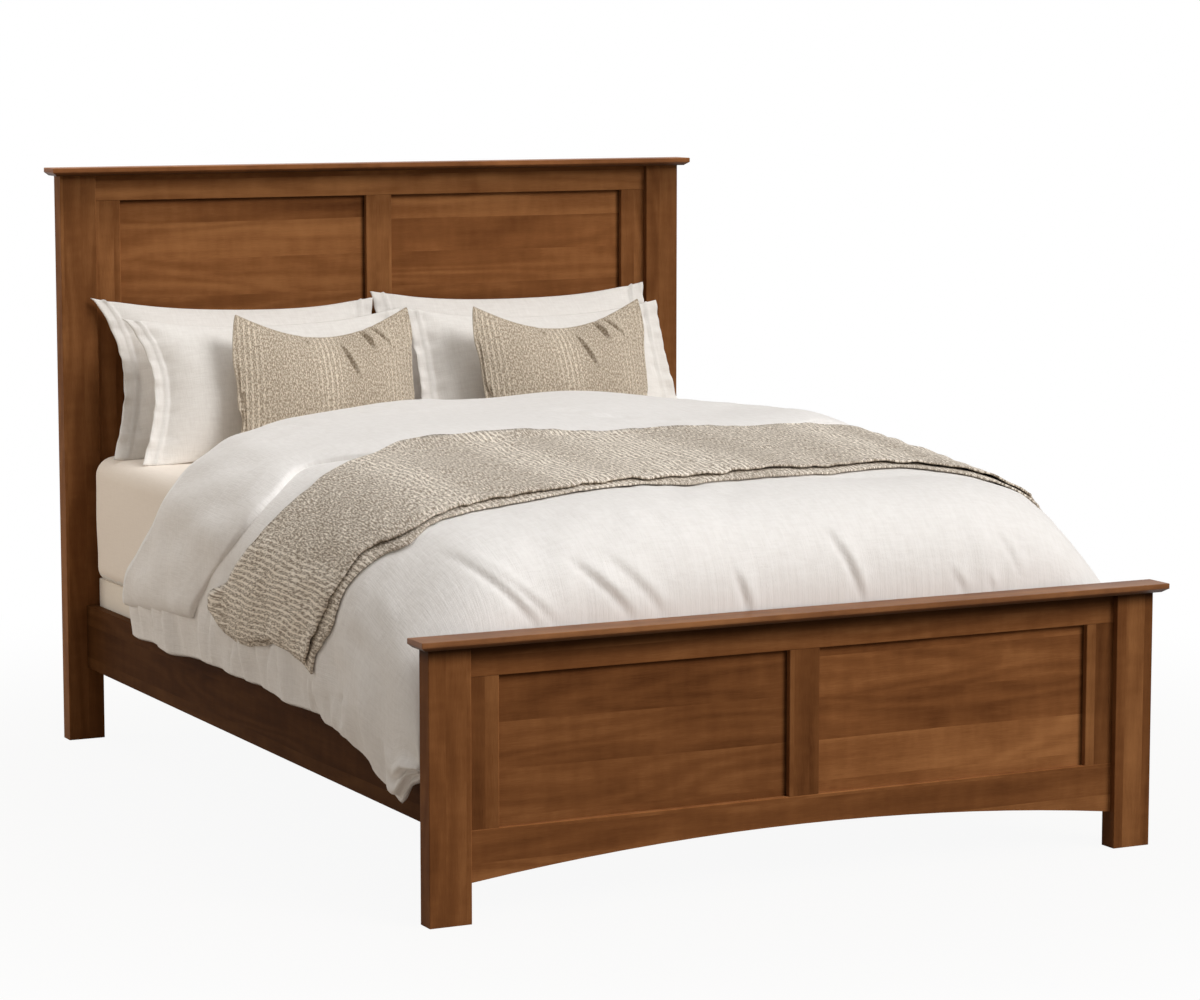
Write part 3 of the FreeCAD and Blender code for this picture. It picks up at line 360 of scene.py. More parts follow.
def woven(name, dark, light, slub, depth, sheen=0.0, crinkle=0.0):
    """Plain woven cloth on its own flat cut, in metres.

    Threads both ways are long thin noises, with a fine noise for the yarn between them, and a slower
    noise both ways for the crinkle of washed cloth.
    """
    material, tree, shader = finish_named(name)
    spot = add(tree, "UVMap", uv_map="cut").outputs["UV"]
    warp = cloth_noise(spot, slub, slub * 14)
    weft = cloth_noise(spot, slub * 14, slub)
    fine = cloth_noise(spot, 700.0, 700.0, 1.0)
    yarn = calc("MULTIPLY", fine, 0.3)
    height = calc("MULTIPLY_ADD", calc("ADD", warp, weft), 0.35, yarn)
    if crinkle:
        washed = calc("ADD", cloth_noise(spot, 34.0, 120.0), cloth_noise(spot, 95.0, 30.0))
        height = calc("MULTIPLY_ADD", calc("SUBTRACT", washed, 1.0), crinkle, height)
    cloth_finish(shader, height, dark, light, depth, sheen)
    return material


def place_soft(piece, node, body="bed"):
    """A soft piece stands in for its CAD node, which it hides, and joins a body."""
    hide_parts(node)
    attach(piece, body)


def cloth_wall(piece, thick, offset=-1.0):
    """Gives a single layer of cloth its thickness, inwards unless the offset says otherwise."""
    wall = piece.modifiers.new("cloth", "SOLIDIFY")
    wall.thickness, wall.offset = thick, offset


def ringed(name, rows, material, closed=False):
    """A soft piece of rings, with a face inside the last ring, and inside the first when it is closed.

    Its flat cut is how far round each point is, and how far up from the first ring.
    """
    count, round_count = rows.shape[:2]
    round_run = np.append(0, np.cumsum(np.linalg.norm(np.diff(rows[0], axis=0), axis=1)))
    up = np.append(0, np.cumsum(np.linalg.norm(np.diff(rows.mean(1), axis=0), axis=1)
                                + np.abs(np.diff(rows[:, 0], axis=0)).sum(1) * 0.5))
    cut = np.stack(np.broadcast_arrays(round_run[None, :], up[:, None]), -1)
    caps = [list(range((count - 1) * round_count, count * round_count))]
    if closed:
        caps.append(list(range(round_count - 1, -1, -1)))
    return soft_piece(name, rows, quads_of(count, round_count, wrap=True), material, cut, caps)


cover_low, cover_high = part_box("foundation_cover")
inset, height = over_edge(0.004, cover_low.z, cover_high.z, (cover_high.x - cover_low.x) / 2)
cover_rows = boxed(cover_low, cover_high, 0.006, inset, height)
SEWN_EDGE, SEAM_RISE = slice(7, 9), 0.0015
cover_rows[SEWN_EDGE, :, 2] += SEAM_RISE
# Its pale tone is partly painted light, lifting the cover where it lies in shade under the sheet.
ticking = woven("foundation_ticking", (0.89, 0.825, 0.73), (0.95, 0.885, 0.79), 24.0, 0.0006)
cover = ringed("foundation_ticking_cover", cover_rows, ticking)
cloth_wall(cover, 0.0025)
place_soft(cover, "foundation_cover")

# Mattress: a foam block in quilted ticking, with a taped edge above and below.
# It lies loose on the foundation under its sheet; the duvet pulled over them presses its foot corners down.


def ease(low, high, value):
    """Goes smoothly from 0 at low to 1 at high."""
    p = np.clip((value - low) / (high - low), 0, 1)
    return p * p * (3 - 2 * p)


mattress_low, mattress_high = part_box("mattress")
GIVE_IN, GIVE_BACK, GIVE_DOWN = 0.05, 0.03, 0.1
MATTRESS_EDGE, MATTRESS_FOOT = 0.045, 0.03


def corner_give(x, y):
    """How far the two foot corners give under the duvet pulled over them, from 0 to 1."""
    aside = ease(mattress_high.x - 0.3, mattress_high.x, np.abs(x))
    return aside * ease(mattress_low.y + 0.4, mattress_low.y, y)


def pressed(rows):
    """Draws the upper foot corners in and down."""
    give = corner_give(rows[..., 0], rows[..., 1]) * ease(mattress_low.z, mattress_high.z, rows[..., 2])
    return rows - np.stack([np.sign(rows[..., 0]) * GIVE_IN * give, -GIVE_BACK * give, GIVE_DOWN * give], -1)


mattress_half = (mattress_high.x - mattress_low.x) / 2
turn = np.linspace(0, np.pi / 2, EDGE_ROWS)
inset, height = over_edge(MATTRESS_EDGE, mattress_low.z + MATTRESS_FOOT, mattress_high.z, mattress_half)
inset = join(np.linspace(mattress_half - SLIT, 0.05, SIDE_ROWS),
             MATTRESS_FOOT * (1 - np.sin(turn)), inset[1:])
height = join(np.full(SIDE_ROWS, mattress_low.z),
              mattress_low.z + MATTRESS_FOOT * (1 - np.cos(turn)), height[1:])
mattress_rows = boxed(mattress_low, mattress_high, 0.07, inset + 0.001, height)
top_rows = mattress_rows[:, :, 2] > mattress_high.z - 0.001
QUILT_STEP, QUILT_DEPTH = 0.12, 0.0015
quilt = np.prod(np.cos(mattress_rows[..., :2] * 2 * np.pi / QUILT_STEP), -1)
mattress_rows[..., 2] -= np.where(top_rows, QUILT_DEPTH * (1 - quilt), 0.0)
mattress_rows = pressed(mattress_rows)
mattress_ticking = woven("mattress_ticking", (0.8, 0.76, 0.7), (0.88, 0.85, 0.8), 24.0, 0.0006)
mattress = ringed("quilted_mattress", mattress_rows, mattress_ticking, closed=True)
place_soft(mattress, "mattress")

# Fitted sheet: warm cotton pulled over the mattress, with deep corners and elastic in its hem; the warm tint
# is partly painted warm shade.
# The elastic gathers the hem under the mattress's lower edge, and slack shows as faint folds.


def unit(vectors):
    """Vectors brought to a length of one."""
    return vectors / np.maximum(np.linalg.norm(vectors, axis=-1, keepdims=True), 1e-9)


SHEET_OFF = 0.0015
sheet_turn = mattress_low.z + 0.034
inset, height = over_edge(MATTRESS_EDGE + 0.001, sheet_turn, mattress_high.z + SHEET_OFF, mattress_half)
turn = np.linspace(-np.pi / 2, 0, 7)[:-1]
inset = join(MATTRESS_FOOT * (1 - np.cos(turn)), inset) - SHEET_OFF
height = join(sheet_turn + MATTRESS_FOOT * np.sin(turn), height)
sheet_rows = boxed(mattress_low, mattress_high, 0.0715, inset, height)
outward = sheet_rows[:, :, :2] - (np.array(mattress_low) + np.array(mattress_high))[:2] / 2
around = np.arctan2(outward[..., 1], outward[..., 0])
low_share = np.clip(1 - (sheet_rows[..., 2] - mattress_low.z) / 0.1, 0, 1)
gather = np.sin(around * 140) * np.sin(around * 33 + 1.0) * 0.0022 * low_share ** 2
tall = sheet_rows[..., 2]
slack = (np.sin(around * 9 + tall * 21) + np.sin(around * 23 - tall * 35)) * 0.0011
side = np.clip((mattress_high.z - 0.02 - tall) / 0.05, 0, 1)
sheet_rows[..., :2] += unit(outward) * (gather + slack * side)[..., None]
sheet_rows = pressed(sheet_rows)
# Its warm beige is partly painted warm shade, for its shaded sides.
cotton = woven("sheet_cotton", (0.87, 0.785, 0.7), (0.93, 0.85, 0.765), 20.0, 0.0004)
fitted = ringed("fitted_cotton_sheet", sheet_rows, cotton)
cloth_wall(fitted, 0.001)
place_soft(fitted, "fitted_sheet")

# Duvet: ivory linen filled with down, wider than the mattress, its head end turned back on itself.
# One thick layer domes over the bed and hangs down both sides, its foot end pushed behind the footboard.
sheet_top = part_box("fitted_sheet")[1].z
DUVET_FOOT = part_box("duvet")[0].y
DUVET_HALF, FRONT_RUN = 1.194, 0.31
ACROSS = (0, 0.26, 0.52, 0.703, 0.792, 0.88, 0.986, 1.09, DUVET_HALF)
SIDE_X = (0, 0.26, 0.52, 0.7, 0.775, 0.829, 0.853, 0.858, 0.847)


def through(knots, values, at):
    """A smooth curve through values at knots: cubic pieces that take their slopes from the neighbours."""
    knots, values = np.array(knots), np.array(values)
    slope = np.gradient(values, knots)
    i = np.clip(np.searchsorted(knots, at) - 1, 0, len(knots) - 2)
    step = knots[i + 1] - knots[i]
    p = (at - knots[i]) / step
    return ((1 + 2 * p) * (1 - p) ** 2 * values[i] + p * (1 - p) ** 2 * step * slope[i]
            + p * p * (3 - 2 * p) * values[i + 1] + p * p * (p - 1) * step * slope[i + 1])


def ripple(seed, first, second, short, long, lean=1.0, count=9):
    """Soft random waves between two lengths, about -1 to 1; lean below 1 runs them along the second way."""
    draw = np.random.default_rng(seed)
    angle = draw.uniform(0, 2 * np.pi, count)
    number = 2 * np.pi / draw.uniform(short, long, count)
    phase = draw.uniform(0, 2 * np.pi, count)
    waves = (np.sin(n * (np.cos(turn) * first + lean * np.sin(turn) * second) + p)
             for turn, n, p in zip(angle, number, phase))
    return sum(waves) / math.sqrt(count)


def crown_height(y):
    """The dome's height along the middle: up a steep front at the foot, then a slow rise to the head."""
    p = np.clip((y - DUVET_FOOT) / FRONT_RUN, 0, 1)
    front = -0.15 + 0.234 * (1 - (1 - p) ** 2.6) ** (1 / 2.6)
    return sheet_top + front + 0.048 * np.clip((y - DUVET_FOOT - FRONT_RUN) / 0.904, 0, 1) ** 0.6


def duvet_over(s, y):
    """The duvet's top: s is the way across from the middle, y the way along the bed.

    Across, the dome falls to a shoulder over the mattress's edge and hangs to the hem. It falls
    faster near the foot and towards the turned-back end, slower at the right shoulder, and the hem
    drops at the foot corner.
    """
    a = np.abs(s)
    crown = crown_height(y)
    near = 1 - np.clip((y - DUVET_FOOT) / FRONT_RUN, 0, 1)
    hem = through((-1.03, -1.0, -0.975, -0.957, -0.94, -0.922, -0.9, -0.858, -0.803, -0.699, -0.595, -0.4,
                   0.6), (0.29, 0.272, 0.262, 0.24, 0.224, 0.228, 0.241, 0.258, 0.281, 0.315, 0.328, 0.336,
                           0.336), y)
    fall = through(ACROSS, (0, 0.003, 0.015, 0.057, 0.107, 0.176, 0.117, 0.059, 0), a)
    at_foot = through(ACROSS, (0, 0.001, 0.004, 0.016, 0.038, 0.045, 0.03, 0.015, 0), a)
    at_head = through(ACROSS, (0, 0.008, 0.024, 0.028, 0.024, 0.018, 0.01, 0.005, 0), a)
    fall = fall + ease(0, 0.55, near) * at_foot + np.clip((y + 0.1) / 0.66, 0, 1) ** 2 * at_head
    fall = fall - 0.02 * np.exp(-((s - 0.64) / 0.15) ** 2 - ((y + 0.12) / 0.28) ** 2)
    drop = through(ACROSS, (0, 0, 0, 0, 0, 0, 1 / 3, 2 / 3, 1), a)
    x = np.sign(s) * through(ACROSS, SIDE_X, a) * (1 - 0.035 * near ** 2)
    z = crown - fall - drop * (crown - hem)
    return np.stack([x, y, z], -1)


def bed_top(x, y):
    """The height of the sheet's top: level, rounded down at its edges and sunk at the foot corners."""
    give = corner_give(x, y)
    past = np.maximum(np.abs(x) - mattress_high.x + MATTRESS_EDGE + GIVE_IN * give,
                      mattress_low.y + MATTRESS_EDGE + GIVE_BACK * give - y)
    rounded = 1 - np.sqrt(1 - np.clip(past / MATTRESS_EDGE, 0, 1) ** 2)
    return sheet_top - GIVE_DOWN * give - MATTRESS_EDGE * rounded


def duvet_out(s, y):
    """The way out of the duvet's top, square to the directions across and along it."""
    step = 0.002
    return unit(np.cross(duvet_over(s + step, y) - duvet_over(s - step, y),
                         duvet_over(s, y + step) - duvet_over(s, y - step)))


def duvet_swell(s, y):
    """How far the filling swells or sinks: slow waves all over, and folds where the sides hang."""
    hanging = ease(0.8, 1.02, np.abs(s))
    creased = ease(-0.2, 1.0, ripple(15, s, y, 0.25, 0.6))
    return (0.0016 * creased * ripple(14, s, y, 0.045, 0.11, lean=0.7)
            + 0.0035 * ripple(4, s, y, 0.22, 0.55) * (1 - 0.5 * hanging)
            + 0.0048 * hanging * ripple(9, s, y, 0.2, 0.46, lean=1.8))


def stroke(first, second, path, width, depth):
    """One crease: a valley along a bent path and a ridge on its left, fading at both ends.

    The ridge is steep towards the valley and falls slowly away on its far side.
    """
    a, b, c = (np.array(p) for p in path)
    t = np.linspace(0, 1, 26)[:, None]
    line = (1 - t) ** 2 * a + 2 * t * (1 - t) * b + t * t * c
    gap = np.stack([first, second], -1)[..., None, :] - line
    nearest = np.argmin((gap ** 2).sum(-1), -1)
    off = np.take_along_axis(gap, nearest[..., None, None], -2)[..., 0, :]
    way = unit(np.gradient(line, axis=0))[nearest]
    (u, v), (p, q) = np.moveaxis(off, -1, 0), np.moveaxis(way, -1, 0)
    side, past = (u * q - v * p) / width, (u * p + v * q) / width
    fade = np.sin(np.pi * np.clip(nearest / 25.0, 0.02, 0.98)) ** 0.7 * np.exp(-past ** 2)
    ridge = np.exp(-(side - 1.2) ** 2 / np.where(side < 1.2, 1.0, 7.0))
    return depth * fade * (0.8 * ridge - 0.7 * np.exp(-side ** 2))


def shell(outer, inner):
    """A closed thick sheet from two grids of points: both faces, and a rounded edge all round."""
    rows, columns = outer.shape[:2]
    flat = np.arange(rows * columns).reshape(rows, columns)
    edge = join(flat[0, :-1], flat[:-1, -1], flat[-1, :0:-1], flat[:0:-1, 0])
    within = join(flat[1, :-1], flat[:-1, -2], flat[-2, :0:-1], flat[:0:-1, 1])
    both = join(outer.reshape(-1, 3), inner.reshape(-1, 3))
    size = rows * columns
    away = unit(both[edge] - both[within])
    thick = np.linalg.norm(both[edge] - both[edge + size], axis=1, keepdims=True)
    rim = (both[edge] + both[edge + size]) / 2 + away * thick * 0.42
    points = join(both, rim)
    ring = 2 * size + np.arange(len(edge))
    upper = np.stack([edge, np.roll(edge, -1), np.roll(ring, -1), ring], -1)
    lower = np.stack([ring, np.roll(ring, -1), np.roll(edge, -1) + size, edge + size], -1)
    quads = join(quads_of(rows, columns, flip=True), quads_of(rows, columns, size), upper, lower)
    return points, quads


def both_faces(cut, points):
    """The flat cut of a shell's points: the same on both faces, and nothing at its rim."""
    cut = cut.reshape(-1, 2)
    return join(cut, cut, np.zeros((len(points) - 2 * len(cut), 2)))


def fold_line(s):
    """Where the turned-back end turns, along the bed: drawn towards the foot at the shoulders."""
    return through((0, 0.2, 0.4, 0.58, 0.69, 0.79, 0.875, 0.95, 1.03, 1.1, 1.2),
                   (0.588, 0.586, 0.56, 0.5, 0.43, 0.39, 0.375, 0.42, 0.5, 0.555, 0.575), np.abs(s))


def band_hem(s):
    """Where the turned-back end stops, along the bed."""
    return through((0, 0.3, 0.5, 0.67, 0.766, 0.846, 0.934, 1.1, 1.2),
                   (-0.19, -0.19, -0.15, -0.06, -0.115, -0.122, -0.075, 0.102, 0.18), np.abs(s))


# The grid is finer towards both hems and up the front.
FINE_FROM, DUVET_RUN = 1.05, 1.6
columns = np.linspace(FINE_FROM, DUVET_HALF, 37)[1:]
columns = join(-columns[::-1], np.linspace(-FINE_FROM, FINE_FROM, 301), columns)
along = join(FRONT_RUN * np.linspace(0, 1, 40) ** 2, np.linspace(FRONT_RUN, DUVET_RUN, 132)[1:]) / DUVET_RUN
S, share = np.meshgrid(columns, along, indexing="ij")
Y = DUVET_FOOT + share * (fold_line(S) - 0.022 - DUVET_FOOT)
top = duvet_over(S, Y)
out = unit(np.cross(np.gradient(top, axis=0), np.gradient(top, axis=1)))
HEM_FROM, HEM_RUN = 1.0, 0.194
at_hem = np.clip((np.abs(S) - HEM_FROM) / HEM_RUN, 0, 1) ** 2
pucker = ripple(41, Y, S, 0.13, 0.36, lean=0.2, count=7)
lift = duvet_swell(S, Y) + 0.0034 * at_hem * pucker
front = ease(-0.8, -0.9, Y)
FRONT_CREASES = (
    (((-0.575, 0.56), (-0.635, 0.64), (-0.7, 0.69)), 0.008, 0.011),
    (((-0.53, 0.56), (-0.6, 0.632), (-0.675, 0.69)), 0.007, 0.007),
    (((-0.365, 0.56), (-0.42, 0.625), (-0.49, 0.685)), 0.008, 0.01),
    (((-0.295, 0.56), (-0.345, 0.625), (-0.415, 0.69)), 0.009, 0.006),
    (((-0.105, 0.55), (-0.125, 0.605), (-0.135, 0.645)), 0.008, 0.008),
    (((0.155, 0.56), (0.13, 0.64), (0.095, 0.705)), 0.008, 0.01),
    (((0.4, 0.555), (0.385, 0.585), (0.362, 0.612)), 0.007, 0.005),
    (((0.47, 0.555), (0.462, 0.575), (0.45, 0.592)), 0.006, 0.004),
    (((0.535, 0.59), (0.515, 0.64), (0.5, 0.68)), 0.008, 0.004))
DROP_CREASES = (
    (((1.11, -0.545), (1.165, -0.59), (1.192, -0.56)), 0.012, 0.006),
    (((1.053, -0.739), (1.12, -0.717), (1.19, -0.688)), 0.014, 0.006),
    (((1.13, -0.73), (1.154, -0.714), (1.192, -0.683)), 0.01, 0.004),
    (((1.142, -0.93), (1.158, -0.983), (1.156, -1.045)), 0.01, 0.022),
    (((1.193, -0.9), (1.177, -0.963), (1.168, -1.045)), 0.008, 0.018),
    (((0.8, -0.735), (0.745, -0.765), (0.69, -0.79)), 0.012, 0.005))
for path, width, depth in FRONT_CREASES:
    lift = lift + front * stroke(top[..., 0], top[..., 2], path, width, depth)
for path, width, depth in DROP_CREASES:
    lift = lift + stroke(np.abs(S), Y, path, width, depth)
draw = np.random.default_rng(77)
for place in np.linspace(0.46, -0.92, 17):
    start, lean = place + draw.uniform(-0.03, 0.03), draw.uniform(-0.035, 0.035)
    high = draw.uniform(1.03, 1.12)
    lift = lift + stroke(np.abs(S), Y, ((high, start + lean), (high / 2 + 0.6, start), (1.2, start)),
                         draw.uniform(0.009, 0.015), draw.uniform(0.006, 0.013))
outer = top + out * lift[..., None]
outer[..., 2] += 0.003 * at_hem * ripple(42, Y, S, 0.12, 0.4, lean=0.2, count=6)
room = np.clip((outer[..., 2] - bed_top(outer[..., 0], Y) - 0.004) * out[..., 2], 0.01, None)
loose = 0.014 + 0.014 * ease(DUVET_HALF, 1.1, np.abs(S))
thick = loose + (room - loose) * ease(0.84, 0.66, np.abs(S))
thick = np.where(np.abs(outer[..., 0]) < mattress_high.x, np.minimum(thick, room), thick)
points, quads = shell(outer, outer - out * thick[..., None])
cut = both_faces(np.stack([S, Y], -1), points)

# The turned-back end is the same cloth again, lying over the dome: thick at its fold, thin at its hem.
BAND_REACH = 1.125
columns = np.linspace(-BAND_REACH, BAND_REACH, 231)[:, None]
a = np.abs(columns)
end = np.sqrt(np.clip(1 - (1 - np.clip((BAND_REACH - a) / 0.042, 0, 1)) ** 2, 0.01, 1))
fold, stop = fold_line(columns), band_hem(columns)
loft = (0.02 + 0.004 * ease(0.95, 0.75, a)) * end
crest = 0.009 * np.exp(-((columns - 0.42) / 0.26) ** 2) - 0.005 * np.exp(-((columns + 0.02) / 0.09) ** 2)
depth = (0.03 + 0.085 * ease(0.86, 0.55, a)) * end
radius = (loft + depth) / 2
turn = np.linspace(np.pi / 2, -np.pi / 2, 15)
step = np.append(0, np.linspace(0, 1, 64) ** 1.15)
run = stop + step * (fold - radius - stop)
rise = loft * (0.35 + 0.65 * np.clip(step * 6, 0, 1) ** 0.5) + crest * ease(0.35, 0.9, step)
rise[:, 0] = -0.004
return_step, return_depth = np.array([(0.6, 0.3, 0), (0.9, 0.5, 0.2)])
run = join(run, fold - radius + radius * np.cos(turn), stop + return_step * (fold - radius - stop), axis=1)
rise = join(rise, crest + loft - radius + radius * np.sin(turn), -depth * return_depth, axis=1)
S2 = columns * (1 - 0.024 * ease(0.75, 1.05, a) * (fold - run) / (fold - stop))
soft = 0.0035 * ripple(21, S2, run, 0.08, 0.2, lean=0.5) * ease(0.45, 0.85, np.abs(S2))
band = duvet_over(S2, run) + duvet_out(S2, run) * (duvet_swell(S2, run) + rise + soft)[..., None]
rows, steps = run.shape
band_quads = quads_of(rows, steps, len(points), flip=True, wrap=True)
caps = [list(range(len(points), len(points) + steps)),
        list(range(len(points) + rows * steps - 1, len(points) + (rows - 1) * steps - 1, -1))]
linen = woven("duvet_linen", (0.845, 0.82, 0.798), (0.895, 0.873, 0.855), 26.0, 0.002, sheen=0.1,
              crinkle=0.55)
duvet = soft_piece("linen_duvet", join(points, band.reshape(-1, 3)), join(quads, band_quads), linen,
                   join(cut, np.stack([S2, run], -1).reshape(-1, 2)), caps)
place_soft(duvet, "duvet")

# Throw: a loose slub weave, folded once along its length and laid across the bed over the duvet.
# Its fold lies towards the head; at the foot side the under layer shows past the upper one.


def throw_edges(s):
    """Where the throw's head side and foot side lie along the bed.

    Both slip to the foot at the shoulders, and the right half lies a little narrower.
    """
    a = np.abs(s)
    head = through((0, 0.312, 0.474, 0.567, 0.657, 0.753, 0.822, 0.891, 0.968, 1.053, 1.15),
                   (-0.165, -0.14, -0.13, -0.16, -0.2, -0.24, -0.235, -0.205, -0.125, -0.035, 0.005), a)
    tail = through((0, 0.267, 0.445, 0.575, 0.66, 0.74, 0.801, 0.873, 0.971, 1.088, 1.15),
                   (-0.735, -0.73, -0.722, -0.715, -0.73, -0.745, -0.7, -0.668, -0.636, -0.574, -0.55), a)
    head = head - 0.05 * np.exp(-((s - 0.36) / 0.2) ** 2)
    tail = tail + 0.035 * ease(-0.45, 0.0, s) * ease(0.85, 0.6, s) + 0.05 * np.exp(-((s - 0.42) / 0.14) ** 2)
    return head, tail


def throw_height(s, y):
    """How far the throw's underside stands off the duvet's top: the swell, and the band's hem under it."""
    over_hem = 0.022 * ease(-0.03, 0.1, y - band_hem(s)) * ease(0.95, 0.75, np.abs(s))
    return duvet_swell(s, y) + over_hem + 0.003


UNDER, BENT, OVER = 46, 9, 44
BEND, THROW_HALF = 0.0038, 1.1
columns = np.linspace(-1, 1, 281)[:, None]
head, tail = throw_edges(columns * 1.095)
turn = np.linspace(-np.pi / 2, np.pi / 2, BENT)
wander = (0.004 * ripple(31, columns * THROW_HALF, columns, 0.1, 0.3)
          + 0.002 * ripple(32, columns * THROW_HALF, columns, 0.03, 0.06))
low_tail = tail - 0.024 - 0.8 * wander
high_tail = tail + 0.004 + wander
run = join(low_tail + np.linspace(0, 1, UNDER) * (head - BEND - low_tail),
           head - BEND + BEND * np.cos(turn),
           high_tail + np.linspace(1, 0, OVER) * (head - BEND - high_tail), axis=1)
upper = np.arange(UNDER + BENT + OVER) > UNDER + BENT - 1
rise = join(np.zeros(UNDER), BEND + BEND * np.sin(turn), np.full(OVER, 2 * BEND))
rise = rise + np.where(upper, 1, 0.3) * (
    0.0016 * ripple(33, columns * THROW_HALF + 0 * run, run, 0.05, 0.12) + 0.0009)
rise = rise + join(np.zeros(UNDER + BENT), 0.001 * np.linspace(0, 1, OVER) ** 6)
finish_at = through((-0.65, -0.573, -0.473, -0.392, -0.27, -0.16, -0.09, -0.04, 0.02),
                    (1.084, 1.088, 1.082, 1.07, 1.098, 1.106, 1.098, 1.07, 1.04), run)
finish_at = finish_at - 0.012 * upper + 0.002 * ripple(34, run, columns, 0.06, 0.2, lean=0.1)
S3 = columns * finish_at
cloth = duvet_over(S3, run) + duvet_out(S3, run) * (throw_height(S3, run) + rise + 0.0022)[..., None]
length_run = join(np.zeros((len(run), 1)), np.cumsum(np.abs(np.diff(run, axis=1)), 1), axis=1)


def slub_weave(name, dark, light, spacing, zones, depth, grains, sway, rib, dash):
    """Loose weave of speckled yarn on its flat cut, in metres.

    Short grains of yarn lie across the first direction over a fine speckle. Pale slubs are wavy
    ridges a spacing apart, broken along their length, and they come and go in zones.
    """
    material, tree, shader = finish_named(name)
    spot = add(tree, "UVMap", uv_map="cut").outputs["UV"]
    grain = cloth_noise(spot, *grains)
    speck = cloth_noise(spot, 520.0, 420.0, 1.0)
    wander = cloth_noise(spot, 3.0, 6.0, 2.0)
    first = add(tree, "SeparateXYZ", {"Vector": spot}).outputs["X"]
    turns = calc("MULTIPLY", first, 6.2832 / spacing)
    wave = calc("SINE", calc("MULTIPLY_ADD", wander, sway, turns))
    ridge = calc("POWER", calc("MULTIPLY_ADD", wave, 0.5, 0.5), 3.0)
    zone = ranged(cloth_noise(spot, zones, 0.4, 1.0), (0.4, 0.62))
    broken = ranged(cloth_noise(spot, 90.0, dash), (0.28, 0.52))
    slubs = calc("MULTIPLY", calc("MULTIPLY", ridge, zone), broken)
    height = calc("MULTIPLY_ADD", grain, 0.6, calc("MULTIPLY_ADD", speck, 0.34, -0.01))
    height = calc("MULTIPLY_ADD", slubs, rib, height)
    cloth_finish(shader, height, dark, light, depth, 0.15, 0.1)
    return material


slub = slub_weave("throw_slub", (0.3, 0.245, 0.188), (0.95, 0.87, 0.765), spacing=0.013, zones=5.0,
                  depth=0.0022, grains=(300.0, 85.0), sway=9.0, rib=0.26, dash=28.0)
throw = soft_piece("slub_throw", cloth, quads_of(*cloth.shape[:2], flip=True), slub,
                   np.stack([S3, length_run], -1))
cloth_wall(throw, 0.004, offset=0.0)
place_soft(throw, "throw")

# Pillows: four down pillows in ivory linen cases with a flat flange at each end, stitched where the
# filling stops. The back pair leans on the headboard and the front pair on the back pair; none is fixed.


def pull(cloth, first, second, rest):
    """Moves two sets of neighbours along the line between them until they are the rest length apart."""
    gap = cloth[second] - cloth[first]
    length = np.maximum(np.linalg.norm(gap, axis=-1, keepdims=True), 1e-9)
    shift = 0.5 * (1 - rest / length) * gap
    cloth[first] += shift
    cloth[second] -= shift


def blown(flat, sewn, swell, steps=170, seed=1):
    """Two flat cloths sewn together and blown up: points as (front or back, across, up, xyz).

    With them come which points are loose, the cut and the flange's columns, for cased to use.
    The flat cuts lie face to face. Each step a pressure moves every loose point out along its normal,
    then neighbours across, up and both ways slantwise are pulled back to their distance in the cut,
    and sewn points, all round and in the flange at each end, are brought together. The pressure
    falls to nothing as the swell is reached.
    """
    columns, rows = flat.shape[:2]
    loose = np.zeros((columns, rows), bool)
    loose[sewn + 1:columns - sewn - 1, 1:rows - 1] = True
    i, j = np.meshgrid(np.linspace(0, 1, columns), np.linspace(0, 1, rows), indexing="ij")
    bulge = 0.02 * np.sin(np.pi * i) * np.sin(np.pi * j) * (1 + 0.3 * ripple(seed, i, j, 0.12, 0.4)) * loose
    cloth = np.stack([np.stack([flat[..., 0], sign * bulge, flat[..., 1]], -1) for sign in (-1, 1)])
    last = cloth.copy()
    odd_even = [(slice(o, n - 1, 2), slice(o + 1, n, 2)) for n in (columns, rows) for o in (0, 1)]
    every, less, more = slice(None), slice(0, -1), slice(1, None)
    pairs = []
    for a, b in odd_even[:2]:
        pairs += [((every, a), (every, b)), ((every, a, less), (every, b, more)),
                  ((every, a, more), (every, b, less))]
    pairs += [((every, every, a), (every, every, b)) for a, b in odd_even[2:]]
    rests = [np.linalg.norm(flat[b[1:]] - flat[a[1:]], axis=-1)[None, ..., None] for a, b in pairs]
    for step in range(steps):
        cloth, last = cloth + 0.85 * (cloth - last), cloth
        normal = unit(np.cross(np.gradient(cloth, axis=1), np.gradient(cloth, axis=2)))
        normal[0] *= np.sign(-normal[0, columns // 2, rows // 2, 1])
        normal[1] *= np.sign(normal[1, columns // 2, rows // 2, 1])
        full = (cloth[1, ..., 1] - cloth[0, ..., 1]).max()
        press = 0.0016 * np.clip(1 - full / swell, -0.2, 1) * (1.25 - 0.5 * j)
        cloth = cloth + normal * (press * loose)[None, ..., None]
        deep = cloth[..., 1]
        deep[:, :, 1:-1] += 0.1 * (deep[:, :, :-2] + deep[:, :, 2:] - 2 * deep[:, :, 1:-1])
        deep[:, 1:-1] += 0.1 * (deep[:, :-2] + deep[:, 2:] - 2 * deep[:, 1:-1])
        for sweep in range(4):
            for (a, b), rest in zip(pairs, rests):
                pull(cloth, a, b, rest)
            cloth[:, ~loose] = cloth[:, ~loose].mean(0)
    return cloth, loose, flat, sewn


def cut_out(width, height, columns, rows, sides, top, level):
    """A flat cut whose sides and top curve in between pointed corners, as (across, up, two ways).

    The top's curve is one less the way across to the power level: higher is flatter in the middle.
    The two sides have a depth each.
    """
    i, j = np.meshgrid(np.linspace(-1, 1, columns), np.linspace(0, 1, rows), indexing="ij")
    x = i * (width / 2 - np.where(i < 0, *sides) * np.sin(np.pi * j ** 1.25) ** 0.7)
    z = j * (height - top * (1 - np.abs(i) ** level))
    return np.stack([x, z], -1)


